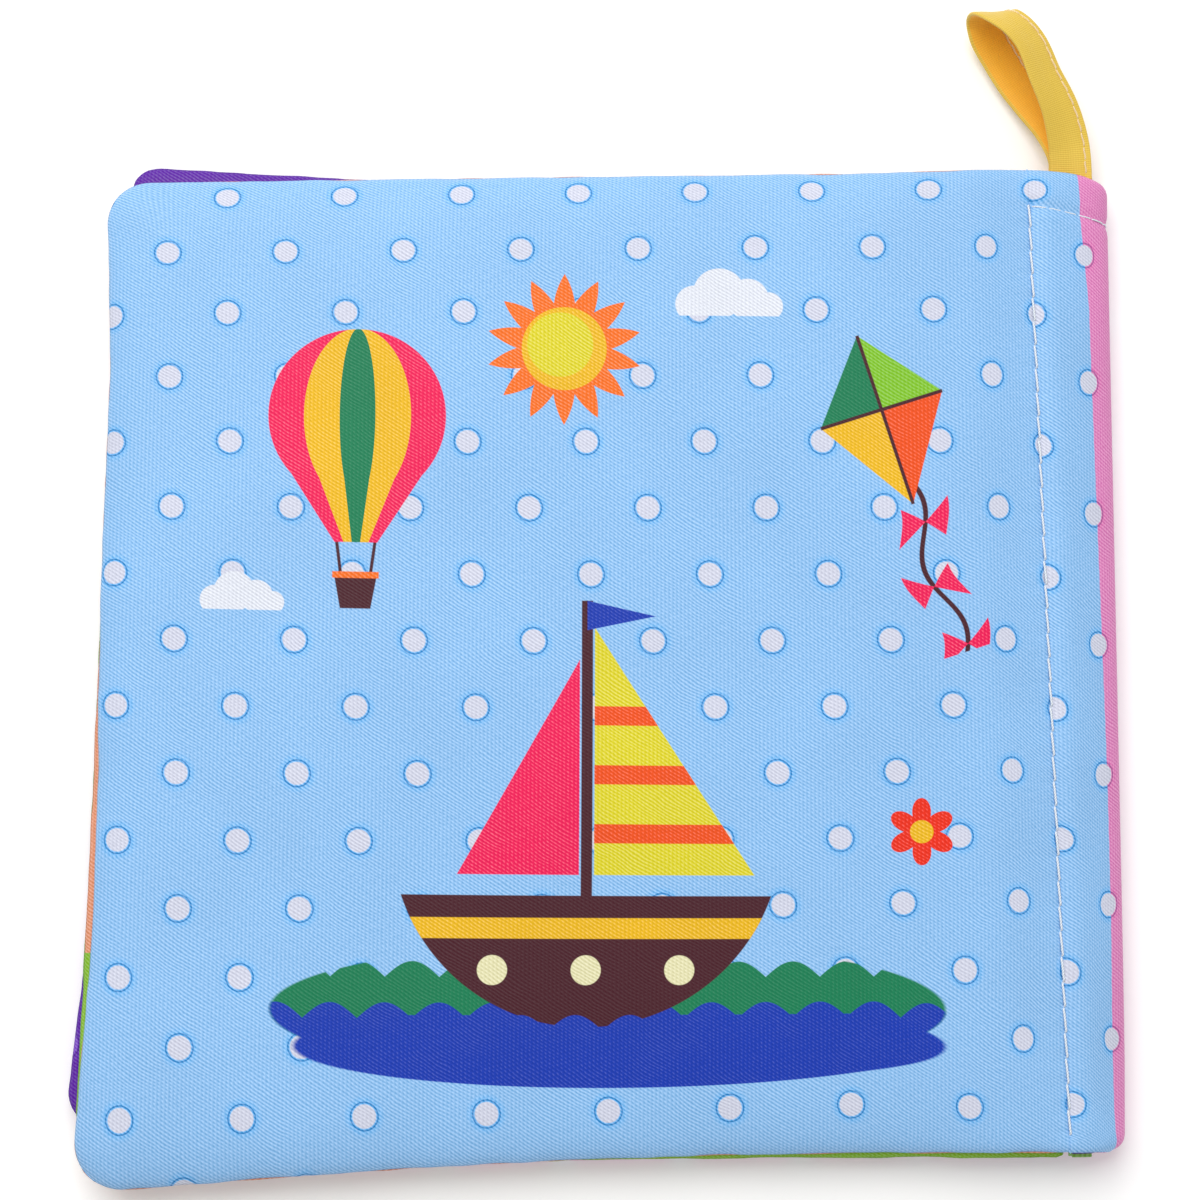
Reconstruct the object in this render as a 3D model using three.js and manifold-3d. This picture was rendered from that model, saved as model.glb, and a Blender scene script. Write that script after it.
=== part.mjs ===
// Crinkle cloth book: four padded cloth leaves bound by one stitched spine, with a tape loop at the top.
// It lies on its front cover. +Z is up, +Y is the head of the pages and the spine is at +X.
// The origin lies on the flat underside. Lengths are in millimetres and angles in degrees.
import * as THREE from "three";
import { mergeVertices } from "three/addons/utils/BufferGeometryUtils.js";
import Module from "manifold-3d";

const wasm = await Module();
wasm.setup();

// Spine: the folded strip between the seam and the fold, from its head to its foot
const seamX = 75.2;
const stripWidth = 11.3;
const foldLean = 0.4;
const spineHead = 87.8;
const spineFoot = -79.6;
const spineCornerRadius = 3.6;
const spineUnderside = 0.6;
const hingeRise = 0.35;
const outerWaddingThickness = 0.6;
const innerWaddingThickness = 0.3;
const layerClearance = 0.22;

// The seam that binds the book, which is also the line that every leaf turns about
const seamLean = 1.1;
const seamHeadMargin = 6.3;
const seamFootMargin = 2.1;
const stitchPitch = 4.15;
const threadSize = 0.5;
const needleChannel = 0.6;
const barMargin = 6.6;
const barFall = 2;
const barSize = 0.4;

// Leaves: a cover is thicker than an inner leaf
const bookReach = 160.6;
const coverThickness = 2.8;
const innerThickness = 2.1;
const leafGap = 0.35;
const clothThickness = 0.4;
const pocketClearance = 0.15;
const filmThickness = 0.15;
const waddingInset = 3.2;
const filmInset = 6;
const edgeThreadInset = 1.7;
const edgeThreadSize = 0.3;
const sideDrawIn = 0.7;
const cornerRadius = 9;
const seamCornerRadius = 1.6;
const pillowReach = 15;
const pinchReach = 12;

// Hanging loop: a tape folded in two and sewn into the head of the spine
const tapeOffset = 5.4;
const tapeWidth = 7.4;
const tapeThickness = 0.7;
const tapeClearance = 0.3;
const tapeTailLength = 7;
const tapeTurnRoom = 0.6;
const loopReach = 27;
const loopSway = 13.1;
const loopRise = 4.9;
const edgeStitchInset = 1.1;
const tapeThreadSize = 0.3;

// Worked out from the sizes above
const foldX = seamX + stripWidth;
const tapeX = seamX + tapeOffset;
const seamHead = spineHead - seamHeadMargin;
const seamFoot = spineFoot + seamFootMargin;
const barHead = spineHead - barMargin;

// How a leaf's pillow rises, from its sewn edge inwards and from the seam outwards
const pillowShares = [0, 0.46, 0.78, 0.95, 1];
const freeInsets = [0, 0.033, 0.12, 0.4, 1].map((share) => share * pillowReach);
const seamInsets = [0, 0.01, 0.025, 0.42, 1].map((share) => share * pinchReach);
const clothInsets = [1.1, 1.1, 1.5, 1].map((share, index) => freeInsets[index] + share * clothThickness);
const clothSeamInsets = [0.75, 0.8, 0.75, 0.5].map((share, index) => {
  return seamInsets[index] + share * clothThickness;
});
const pinchShare = 0.12;
const foldRoundnessShare = 0.9;

// The four leaves from the table up, each cut and stitched in a little askew. Shares are of the
// book's reach, of the spine's head and foot, and of the corner radius.
const leaves = [
  {
    name: "front_cover", thickness: coverThickness, reachShare: 1.002, edgeLean: 0.4,
    headShare: 0.995, headFall: 0.8, footShare: 1.004, footFall: 1.6,
    headRadiusShare: 0.56, footRadiusShare: 0.89,
    upper: "rosePrintedCloth", lower: "pinkPrintedCloth",
  },
  {
    name: "front_leaf", thickness: innerThickness, reachShare: 1.0125, edgeLean: 2.3,
    headShare: 0.956, headFall: -2.2, footShare: 1.013, footFall: -1.6,
    headRadiusShare: 0.56, footRadiusShare: 0.61,
    upper: "purplePrintedCloth", lower: "purplePrintedCloth",
  },
  {
    name: "back_leaf", thickness: innerThickness, reachShare: 1.006, edgeLean: 0.95,
    headShare: 0.986, headFall: 0.2, footShare: 1.014, footFall: 0.9,
    headRadiusShare: 0.56, footRadiusShare: 0.78,
    upper: "peachPrintedCloth", lower: "greenPrintedCloth",
  },
  {
    name: "back_cover", thickness: coverThickness, reachShare: 1, edgeLean: 0.5,
    headShare: 0.999, headFall: 0.86, footShare: 0.999, footFall: 1.9,
    headRadiusShare: 0.61, footRadiusShare: 1,
    upper: "bluePrintedCloth", lower: "peachPrintedCloth",
  },
];

const finishes = {
  bluePrintedCloth: { color: 0x9ccbf8, roughness: 0.8 },
  pinkPrintedCloth: { color: 0xde7fb5, roughness: 0.8 },
  rosePrintedCloth: { color: 0xf3b6cf, roughness: 0.8 },
  purplePrintedCloth: { color: 0x6a3fa8, roughness: 0.8 },
  peachPrintedCloth: { color: 0xe8a589, roughness: 0.8 },
  greenPrintedCloth: { color: 0x8fbf6a, roughness: 0.8 },
  wadding: { color: 0xf4f2ec, roughness: 0.95 },
  crinkleFilm: { color: 0xd9dde2, roughness: 0.25 },
  whiteThread: { color: 0xe6edf5, roughness: 0.6 },
  creamThread: { color: 0xf6d9a0, roughness: 0.6 },
  yellowTape: { color: 0xe3c24f, roughness: 0.7 },
};

const book = new THREE.Group();
const slope = (degrees) => Math.tan(THREE.MathUtils.degToRad(degrees));
const seamXAt = (y) => seamX - y * slope(seamLean);
const foldXAt = (y) => foldX + y * slope(foldLean);
const smooth = (share) => {
  const held = THREE.MathUtils.clamp(share, 0, 1);
  return held * held * (3 - 2 * held);
};

function addMesh(name, geometry, finish) {
  const { color, roughness } = finishes[finish];
  const material = new THREE.MeshStandardMaterial({ color, roughness, metalness: 0 });
  const mesh = new THREE.Mesh(geometry, material);
  mesh.name = name;
  book.add(mesh);
}

// Closed skin through a row of rings. The rings run anticlockwise seen from before the first one,
// in the plane that flat() gives, both ends are capped alike and flipped turns every face round.
function loft(rings, flat, flipped = false) {
  const count = rings[0].length;
  const positions = rings.flat().flatMap((point) => [point.x, point.y, point.z]);
  const faces = [];
  const addFace = (a, b, c) => faces.push(...(flipped ? [a, c, b] : [a, b, c]));
  for (let ring = 0; ring + 1 < rings.length; ring += 1) {
    for (let side = 0; side < count; side += 1) {
      const here = ring * count + side;
      const next = ring * count + ((side + 1) % count);
      addFace(here, here + count, next + count);
      addFace(here, next + count, next);
    }
  }
  const last = (rings.length - 1) * count;
  for (const [a, b, c] of THREE.ShapeUtils.triangulateShape(rings[0].map(flat), [])) {
    addFace(a, b, c);
    addFace(last + a, last + c, last + b);
  }
  const geometry = new THREE.BufferGeometry();
  geometry.setAttribute("position", new THREE.Float32BufferAttribute(positions, 3));
  geometry.setIndex(faces);
  return geometry;
}

// Tube of four-cornered section round a closed path
function closedTube(rings) {
  const count = rings[0].length;
  const faces = [];
  rings.forEach((ring, index) => {
    const nextRing = ((index + 1) % rings.length) * count;
    for (let side = 0; side < count; side += 1) {
      const next = (side + 1) % count;
      faces.push(index * count + side, nextRing + side, nextRing + next);
      faces.push(index * count + side, nextRing + next, index * count + next);
    }
  });
  const geometry = new THREE.BufferGeometry();
  const positions = rings.flat().flatMap((point) => [point.x, point.y, point.z]);
  geometry.setAttribute("position", new THREE.Float32BufferAttribute(positions, 3));
  geometry.setIndex(faces);
  return geometry;
}

function solidOf(geometry) {
  const bare = geometry.clone();
  bare.deleteAttribute("normal");
  bare.deleteAttribute("uv");
  const merged = mergeVertices(bare);
  const vertProperties = new Float32Array(merged.attributes.position.array);
  const triVerts = new Uint32Array(merged.index.array);
  return new wasm.Manifold(new wasm.Mesh({ numProp: 3, vertProperties, triVerts }));
}

function cutAway(geometry, tool) {
  const { vertProperties, triVerts } = solidOf(geometry).subtract(solidOf(tool)).getMesh();
  const left = new THREE.BufferGeometry();
  left.setAttribute("position", new THREE.BufferAttribute(vertProperties, 3));
  left.setIndex(new THREE.BufferAttribute(triVerts, 1));
  return left;
}

const seenFromAbove = (point) => new THREE.Vector2(point.x, point.y);
const seenFromFoot = (point) => new THREE.Vector2(point.x, point.z);

// The stitches pull the whole stack together towards the seam
function pinched(x, y, z) {
  const away = seamXAt(y) - x;
  return z * (1 - pinchShare * (1 - smooth(away / pinchReach)));
}

// One ring of a leaf: its four edges moved in, corners rounded, free sides drawn in between corners
const cornerShares = [0, 0.25, 0.5, 0.75, 1];
const seamCornerShares = [0, 1];
const pinchShares = [0.34, 0.68, 1.02];
const restShares = [0.35, 0.7];
const freeSideShares = [0.25, 0.5, 0.75];

function leafRing(leaf, freeInset, seamInset) {
  const { edgeLean, headFall, footFall } = leaf;
  const head = spineHead * leaf.headShare;
  const foot = spineFoot * leaf.footShare;
  const reach = bookReach * leaf.reachShare;
  const headYAt = (x) => head - freeInset - (seamX - x) * slope(headFall);
  const footYAt = (x) => foot + freeInset - (seamX - x) * slope(footFall);
  const seamSideXAt = (y) => seamXAt(y) - needleChannel - seamInset;
  const freeSideXAt = (y) => seamX - reach + freeInset + y * slope(edgeLean);
  const corner = (sideX, sideY, guess) => {
    const y = sideY(sideX(guess));
    return new THREE.Vector2(sideX(y), sideY(sideX(y)));
  };
  const headRadius = cornerRadius * leaf.headRadiusShare;
  const footRadius = cornerRadius * leaf.footRadiusShare;
  const corners = [
    { at: corner(seamSideXAt, headYAt, head), radius: seamCornerRadius, shares: seamCornerShares },
    { at: corner(freeSideXAt, headYAt, head), radius: headRadius, shares: cornerShares },
    { at: corner(freeSideXAt, footYAt, foot), radius: footRadius, shares: cornerShares },
    { at: corner(seamSideXAt, footYAt, foot), radius: seamCornerRadius, shares: seamCornerShares },
  ];
  const ring = [];
  corners.forEach(({ at, radius, shares }, index) => {
    const before = corners[(index + 3) % 4].at;
    const after = corners[(index + 1) % 4].at;
    const held = Math.max(radius - freeInset, seamCornerRadius / 2);
    const back = before.clone().sub(at).setLength(held);
    const ahead = after.clone().sub(at).setLength(held);
    for (const share of shares) {
      const turn = (share * Math.PI) / 2;
      const point = at.clone().addScaledVector(back, 1 - Math.sin(turn));
      ring.push(point.addScaledVector(ahead, 1 - Math.cos(turn)));
    }
    ring.push(...sidePoints(index, at, after));
  });
  return ring;
}

function sidePoints(index, from, to) {
  const length = from.distanceTo(to);
  const pinch = pinchReach / length;
  const rest = restShares.map((share) => pinch + share * (1 - pinch));
  const fromSeam = [...pinchShares.map((share) => share * pinch), ...rest];
  const places = [fromSeam, freeSideShares, fromSeam.map((share) => 1 - share).reverse(), []][index];
  const inward = new THREE.Vector2(from.y - to.y, to.x - from.x).normalize();
  return places.map((share) => {
    const bow = sideDrawIn * Math.sin(share * Math.PI);
    return from.clone().lerp(to, share).addScaledVector(inward, bow);
  });
}

const lifted = (ring, z) => ring.map(({ x, y }) => new THREE.Vector3(x, y, pinched(x, y, z)));

// A cloth is one half of the leaf's pillow, from its outer crown round the sewn edge to its inside
function clothOfLeaf(leaf, middle, side) {
  const half = leaf.thickness / 2;
  const outer = freeInsets.map((inset, index) => {
    return lifted(leafRing(leaf, inset, seamInsets[index]), middle + side * half * pillowShares[index]);
  });
  const inner = clothInsets.map((inset, index) => {
    const rise = (half - clothThickness) * pillowShares[index];
    return lifted(leafRing(leaf, inset, clothSeamInsets[index]), middle + side * rise);
  });
  const crown = freeInsets.at(-1);
  const innerCrown = leafRing(leaf, crown, seamInsets.at(-1));
  inner.push(lifted(innerCrown, middle + side * (half - clothThickness)));
  return loft([...outer.reverse(), ...inner], seenFromAbove, side < 0);
}

// The film lies flat, short of the stretch that the seam pinches
function filmOfLeaf(leaf, top) {
  const ring = leafRing(leaf, filmInset, pinchReach);
  return loft([lifted(ring, top), lifted(ring, top - filmThickness)], seenFromAbove);
}

// The wadding swells like the leaf and keeps clear of both cloths and of the film under it
function waddingOfLeaf(leaf, middle) {
  const half = leaf.thickness / 2 - clothThickness - pocketClearance;
  const crown = leafRing(leaf, freeInsets.at(-1), seamInsets.at(-1));
  const shoulder = leafRing(leaf, clothInsets.at(-1), clothSeamInsets.at(-1));
  const edge = leafRing(leaf, waddingInset, waddingInset);
  const underside = middle - half + filmThickness + pocketClearance;
  const rings = [
    lifted(crown, underside), lifted(shoulder, underside), lifted(edge, underside),
    lifted(edge, middle + half * pillowShares[1]), lifted(shoulder, middle + half * pillowShares[3]),
    lifted(crown, middle + half),
  ];
  return loft(rings, seenFromAbove, true);
}

function edgeThreadOfLeaf(leaf, middle) {
  const half = edgeThreadSize / 2;
  const outer = leafRing(leaf, edgeThreadInset - half, edgeThreadInset - half);
  const centre = leafRing(leaf, edgeThreadInset, edgeThreadInset);
  const inner = leafRing(leaf, edgeThreadInset + half, edgeThreadInset + half);
  const rings = centre.map((point, index) => [
    lifted([outer[index]], middle)[0],
    lifted([point], middle + half)[0],
    lifted([inner[index]], middle)[0],
    lifted([point], middle - half)[0],
  ]);
  return closedTube(rings);
}

let stackTop = 0;
for (const leaf of leaves) {
  const middle = stackTop + leaf.thickness / 2;
  const filmTop = stackTop + clothThickness + pocketClearance + filmThickness;
  addMesh(`${leaf.name}_upper_cloth`, clothOfLeaf(leaf, middle, 1), leaf.upper);
  addMesh(`${leaf.name}_lower_cloth`, clothOfLeaf(leaf, middle, -1), leaf.lower);
  addMesh(`${leaf.name}_wadding`, waddingOfLeaf(leaf, middle), "wadding");
  addMesh(`${leaf.name}_crinkle_film`, filmOfLeaf(leaf, filmTop), "crinkleFilm");
  addMesh(`${leaf.name}_edge_thread`, edgeThreadOfLeaf(leaf, middle), "whiteThread");
  stackTop += leaf.thickness + leafGap;
}
stackTop -= leafGap;

// The spine's strip stands as high as the pinched stack, and the leaves turn just above it
const spineTop = stackTop * (1 - pinchShare);
const hingeLevel = spineTop + hingeRise;
const spineMiddle = (spineTop + spineUnderside) / 2;
const spineHalf = (spineTop - spineUnderside) / 2;
const endShares = [0.12, 0.45, 1];
const foldTurns = [-90, -75, -58, -40, -20, 0, 20, 40, 58, 75, 90];

// How much the strip's rounded head and foot draw in at a distance from its end
function endDrawIn(away) {
  const left = Math.max(spineCornerRadius - away, 0);
  return spineCornerRadius - Math.sqrt(spineCornerRadius ** 2 - left ** 2);
}

function foldPoint(y, inset, turn) {
  const away = Math.min(spineHead - y, y - spineFoot);
  const start = seamXAt(y) + needleChannel;
  const width = foldXAt(y) - endDrawIn(away) - start - inset;
  const angle = THREE.MathUtils.degToRad(turn);
  const x = start + width * Math.max(Math.cos(angle), 0) ** foldRoundnessShare;
  return new THREE.Vector3(x, y, spineMiddle + (spineHalf - inset) * Math.sin(angle));
}

// A layer folded round the spine, as a U that opens towards the seam
function foldedLayer(inset, thickness, firstStation) {
  const insets = endShares.slice(firstStation).map((share) => share * spineCornerRadius);
  const stations = [
    ...insets.map((away) => spineFoot + away),
    ...insets.map((away) => spineHead - away).reverse(),
  ];
  const rings = stations.map((y) => [
    ...foldTurns.map((turn) => foldPoint(y, inset, turn)),
    ...foldTurns.map((turn) => foldPoint(y, inset + thickness, -turn)),
  ]);
  return loft(rings, seenFromFoot);
}

const spineLayers = [
  { name: "spine_outer_cloth", thickness: clothThickness, finish: "bluePrintedCloth", station: 0 },
  { name: "spine_outer_wadding", thickness: outerWaddingThickness, finish: "wadding", station: 1 },
  { name: "spine_lining_cloth", thickness: clothThickness, finish: "rosePrintedCloth", station: 1 },
  { name: "inner_fold_cloth", thickness: clothThickness, finish: "purplePrintedCloth", station: 1 },
  { name: "inner_fold_wadding", thickness: innerWaddingThickness, finish: "wadding", station: 1 },
  { name: "centre_fold_cloth", thickness: clothThickness, finish: "greenPrintedCloth", station: 1 },
];
// Both ends of the tape run on between the layers of the spine, one on the other
function tapeTail(clearance) {
  const tail = new THREE.BoxGeometry(tapeWidth + 2 * clearance, tapeTailLength + 2 * clearance,
    2 * (tapeThickness + clearance));
  tail.translate(tapeX, spineHead - tapeTurnRoom - tapeTailLength / 2, spineMiddle);
  return tail;
}

let layerInset = 0;
for (const { name, thickness, finish, station } of spineLayers) {
  const layer = foldedLayer(layerInset, thickness, station);
  addMesh(name, station > 0 ? cutAway(layer, tapeTail(tapeClearance)) : layer, finish);
  layerInset += thickness + layerClearance;
}
addMesh("hanging_loop_tail", tapeTail(0), "yellowTape");

// Lockstitch seam as a comb: a run over every stitch and a tooth down each needle hole.
// The upper thread lies on the turning line and the bobbin thread mirrors it from below.
function stitchComb(runLevel, toothLevel) {
  const length = (seamHead - seamFoot) / Math.cos(THREE.MathUtils.degToRad(seamLean));
  const count = Math.round(length / stitchPitch);
  const pitch = length / count;
  const towards = Math.sign(toothLevel - runLevel);
  const inside = runLevel + towards * threadSize;
  const shape = new THREE.Shape();
  shape.moveTo(0, runLevel);
  for (let stitch = 0; stitch <= count; stitch += 1) {
    const start = stitch * pitch;
    if (stitch > 0) shape.lineTo(start, inside);
    shape.lineTo(start, toothLevel);
    shape.lineTo(start + 2 * threadSize, toothLevel);
    shape.lineTo(start + 2 * threadSize, stitch < count ? inside : runLevel);
  }
  shape.closePath();
  const comb = new THREE.ExtrudeGeometry(shape, { depth: threadSize, bevelEnabled: false, steps: 1 });
  const along = new THREE.Vector3(-Math.sin(THREE.MathUtils.degToRad(seamLean)),
    Math.cos(THREE.MathUtils.degToRad(seamLean)), 0);
  const up = new THREE.Vector3(0, 0, 1);
  const across = new THREE.Vector3().crossVectors(along, up);
  const place = new THREE.Matrix4().makeBasis(along, up, across);
  const start = new THREE.Vector3(seamXAt(seamFoot), seamFoot, 0);
  place.setPosition(start.addScaledVector(across, -threadSize / 2));
  comb.applyMatrix4(place);
  return comb;
}

const bobbinLevel = spineUnderside - threadSize;
addMesh("spine_seam_upper_thread", stitchComb(hingeLevel, spineMiddle + layerClearance), "whiteThread");
addMesh("spine_seam_bobbin_thread", stitchComb(bobbinLevel, spineMiddle - layerClearance), "whiteThread");

// Bar seam: one thread over the head of the strip, round the fold and back underneath
const barTurns = [82, 66, 48, 28, 8, -8, -28, -48, -66, -82];

function barThread() {
  const half = barSize / 2;
  const rings = barTurns.map((turn) => {
    const fall = barFall * Math.cos(THREE.MathUtils.degToRad(turn));
    const surface = foldPoint(barHead - fall, -layerClearance / 2, turn);
    const raised = foldPoint(barHead - fall, -layerClearance / 2 - barSize, turn);
    const middle = surface.clone().lerp(raised, 0.5);
    const headward = middle.clone().setY(middle.y + half);
    const footward = middle.clone().setY(middle.y - half);
    return [surface, footward, raised, headward];
  });
  return loft(rings, (point) => new THREE.Vector2(-point.y, point.z));
}
addMesh("spine_bar_seam_thread", barThread(), "whiteThread");

// The loop's route from its root out and back: shares of its sway, its reach and its rise
const loopRouteShares = [
  [0, 0, 0], [0, 0.055, 0.04], [0.04, 0.2, 0.33], [0.14, 0.375, 0.68], [0.305, 0.56, 0.9],
  [0.495, 0.74, 1], [0.695, 0.885, 0.84], [0.82, 0.97, 0.47], [0.855, 1, 0.11], [0.9, 0.975, -0.26],
  [0.97, 0.89, -0.54], [1, 0.76, -0.69], [0.89, 0.59, -0.73], [0.66, 0.42, -0.69],
  [0.38, 0.265, -0.54], [0.09, 0.14, -0.26], [0, 0.055, -0.04], [0, 0, 0],
];
const loopWidthTurns = [0, 0, 8, 16, 22, 24, 20, 10, 6, 8, 12, 20, 32, 36, 30, 14, 0, 0];
const loopSteps = 30;
const legLift = tapeThickness / 2 + layerClearance / 2;
const rootSteps = 4;

function loopPoint([sway, reach, rise], index) {
  const side = 1 - (2 * index) / (loopRouteShares.length - 1);
  return new THREE.Vector3(
    tapeX - sway * loopSway,
    spineHead + tapeClearance + reach * loopReach,
    spineMiddle + side * legLift + rise * loopRise,
  );
}

// Along the tape: its middle, the unit way across its width and the unit way out of its outer face
function loopFrames() {
  const curve = new THREE.CatmullRomCurve3(loopRouteShares.map(loopPoint));
  const turnAt = (share) => {
    const place = share * (loopWidthTurns.length - 1);
    const index = Math.min(Math.floor(place), loopWidthTurns.length - 2);
    return THREE.MathUtils.lerp(loopWidthTurns[index], loopWidthTurns[index + 1], place - index);
  };
  const frames = [];
  for (let step = 0; step <= loopSteps; step += 1) {
    const share = step / loopSteps;
    const tangent = curve.getTangent(share);
    const turn = THREE.MathUtils.degToRad(turnAt(share));
    const across = new THREE.Vector3(Math.cos(turn), Math.sin(turn), 0);
    across.addScaledVector(tangent, -across.dot(tangent)).normalize();
    const outward = new THREE.Vector3().crossVectors(across, tangent);
    frames.push({ middle: curve.getPoint(share), across, outward });
  }
  return frames;
}

const strip = ({ middle, across, outward }, from, to, low, high) => [
  middle.clone().addScaledVector(across, from).addScaledVector(outward, low),
  middle.clone().addScaledVector(across, to).addScaledVector(outward, low),
  middle.clone().addScaledVector(across, to).addScaledVector(outward, high),
  middle.clone().addScaledVector(across, from).addScaledVector(outward, high),
];

function alongLoop(from, to, low, high, skippedSteps = 0) {
  const frames = loopFrames().slice(skippedSteps, loopSteps + 1 - skippedSteps);
  return loft(frames.map((frame) => strip(frame, from, to, low, high)), seenFromFoot);
}

const tapeHalf = tapeWidth / 2;
const tapeFace = tapeThickness / 2;
addMesh("hanging_loop_tape", alongLoop(-tapeHalf, tapeHalf, -tapeFace, tapeFace), "yellowTape");
const stitchAt = tapeHalf - edgeStitchInset;
const threadHalf = tapeThreadSize / 2;
const threadLift = tapeFace + layerClearance / 2;
const outerThread = alongLoop(stitchAt - threadHalf, stitchAt + threadHalf,
  threadLift, threadLift + tapeThreadSize);
addMesh("hanging_loop_outer_thread", outerThread, "creamThread");
const innerThread = alongLoop(stitchAt - threadHalf, stitchAt + threadHalf,
  -threadLift - tapeThreadSize, -threadLift, rootSteps);
addMesh("hanging_loop_inner_thread", innerThread, "creamThread");

export default book;
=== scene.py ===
import math

import bmesh
import bpy
import numpy as np
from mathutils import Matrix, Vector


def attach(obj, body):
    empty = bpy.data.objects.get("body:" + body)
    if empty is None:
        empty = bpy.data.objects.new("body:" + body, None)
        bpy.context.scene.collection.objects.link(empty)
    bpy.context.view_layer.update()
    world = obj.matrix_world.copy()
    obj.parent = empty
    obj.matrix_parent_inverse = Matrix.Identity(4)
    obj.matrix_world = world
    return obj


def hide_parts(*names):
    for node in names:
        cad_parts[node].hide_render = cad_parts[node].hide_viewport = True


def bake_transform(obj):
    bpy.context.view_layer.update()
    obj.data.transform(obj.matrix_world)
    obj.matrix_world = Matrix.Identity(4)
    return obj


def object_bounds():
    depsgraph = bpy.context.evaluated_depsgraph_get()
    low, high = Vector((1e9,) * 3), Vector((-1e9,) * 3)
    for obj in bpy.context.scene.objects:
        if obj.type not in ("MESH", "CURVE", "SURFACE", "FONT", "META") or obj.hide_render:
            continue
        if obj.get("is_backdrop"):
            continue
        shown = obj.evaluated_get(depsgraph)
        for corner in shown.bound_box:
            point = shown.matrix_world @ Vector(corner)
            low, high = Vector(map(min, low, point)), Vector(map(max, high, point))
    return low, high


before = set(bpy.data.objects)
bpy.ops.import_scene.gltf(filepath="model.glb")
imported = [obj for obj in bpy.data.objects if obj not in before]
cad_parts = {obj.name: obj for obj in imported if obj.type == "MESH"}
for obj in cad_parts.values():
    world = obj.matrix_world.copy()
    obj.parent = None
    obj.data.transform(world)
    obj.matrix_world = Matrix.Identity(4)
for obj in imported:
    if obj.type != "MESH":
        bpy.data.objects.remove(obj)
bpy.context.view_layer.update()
mm = 0.001
waveHeight = 1.6
weldReach = 2e-6
flatEdge = 1e-7

# The book's sizes are the frame's, with the cloth's edges up to a millimetre further out over its wadding
book = {
    "seamX": 75.2,
    "seamLean": 1.1,
    "foldX": 87.6,
    "foldLean": 0.4,
    "spineHead": 87.8,
    "spineFoot": -80.3,
    "spineCorner": 3,
    "spineFootCorner": 2.7,
    "spineShoulder": 0.9,
    "spineUnderside": 0.6,
    "foldRoundness": 0.9,
    "hingeRise": 0.35,
    "seamHead": 81.5,
    "seamFoot": -77.5,
    "stitchPitch": 4.184,
    "barHead": 81.2,
    "barFall": 2,
    "reach": 161.7,
    "cornerRadius": 9,
    "pageSeamCorner": 1.6,
    "coverSeamCorner": 0.3,
    "leafGap": 0.35,
    "pinchReach": 12,
    "pinchShare": 0.12,
    "pillowReach": 15,
    "pillowStart": 0.5,
    "sagReach": 5,
    "sagFromSeam": 32,
}

leaves = [
    {"name": "front_cover", "body": "spine", "thickness": 2.8, "reach": 1.002, "lean": 0.4,
     "head": 0.995, "headFall": 0.8, "foot": 1.004, "footFall": 1.6, "headRadius": 0.56, "footRadius": 0.89,
     "sag": 0.2, "drawnIn": {"free": 0.8, "foot": 0.9, "head": 0.5}},
    {"name": "front_leaf", "body": "front_leaf", "thickness": 2.1, "reach": 1.0065, "lean": 2.45,
     "head": 0.956, "headFall": -2.2, "foot": 1.005, "footFall": -1.6, "headRadius": 0.6, "footRadius": 0.7,
     "sag": 0.85, "drawnIn": {"free": 3.2, "foot": 0.7, "head": 1.1}},
    {"name": "back_leaf", "body": "back_leaf", "thickness": 2.1, "reach": 1.005, "lean": 0.95,
     "head": 0.986, "headFall": 0.2, "foot": 1.012, "footFall": 0.9, "headRadius": 0.9, "footRadius": 1.2,
     "sag": 1.55, "drawnIn": {"free": 0.5, "foot": 0.8, "head": 0.6}},
    {"name": "back_cover", "body": "back_cover", "thickness": 2.8, "reach": 1, "lean": 0.5,
     "head": 1.001, "headFall": 0.74, "foot": 1, "footFall": 2.4, "headRadius": 0.82, "footRadius": 1,
     "sag": 2.3, "drawnIn": {"free": 0, "foot": 2.1, "head": -0.1},
     "freeWander": [-1.2, -0.65, 0.4, 0.78, 0.7, 0.25, 0.03, 0.16, 0.32, -0.5, -1.3]},
]
stackTop = 0
for leaf in leaves:
    leaf["middle"] = stackTop + leaf["thickness"] / 2
    stackTop += leaf["thickness"] + book["leafGap"]
stackTop -= book["leafGap"]
spineTop = stackTop * (1 - book["pinchShare"])
hingeLevel = spineTop + book["hingeRise"]
spineMiddle = (spineTop + book["spineUnderside"]) / 2
spineHalf = (spineTop - book["spineUnderside"]) / 2


# Run across for each millimetre along a line that leans by an angle
def slope(degrees):
    return math.tan(math.radians(degrees))


# Where the seam runs across at a height y, and the fold's outer edge: two straight, slightly leaning lines
def seamXAt(y):
    return book["seamX"] - y * slope(book["seamLean"])


# The x of the outer fold's line, which leans the other way
def foldXAt(y):
    return book["foldX"] + y * slope(book["foldLean"])


# A smooth step: three times the square of a share less twice its cube
def smooth(share):
    held = np.clip(share, 0, 1)
    return held * held * (3 - 2 * held)


# A smooth rise from 0 at a start to 1 a run later
def risen(value, start, run):
    return smooth((value - start) / run)


# Values at even steps from 0 to 1, with a smooth run from each to the next
def eased(values, share):
    values = np.array(values, float)
    place = np.clip(share, 0, 1) * (len(values) - 1)
    before = np.minimum(place.astype(int), len(values) - 2)
    return values[before] + (values[before + 1] - values[before]) * smooth(place - before)


# How far the stitches draw the stack together: full height a pinch away from the seam, less at it
def pinched(x, y, z):
    return z * (1 - book["pinchShare"] * (1 - risen(seamXAt(y) - x, 0, book["pinchReach"])))


# Wave lengths that fall evenly in powers from the longest to the shortest, each a little off its place
def seededLengths(draw, longest, shortest, count, spread=0.15):
    return np.geomspace(longest, shortest, count) * draw.uniform(1 - spread, 1 + spread, count)


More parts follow.
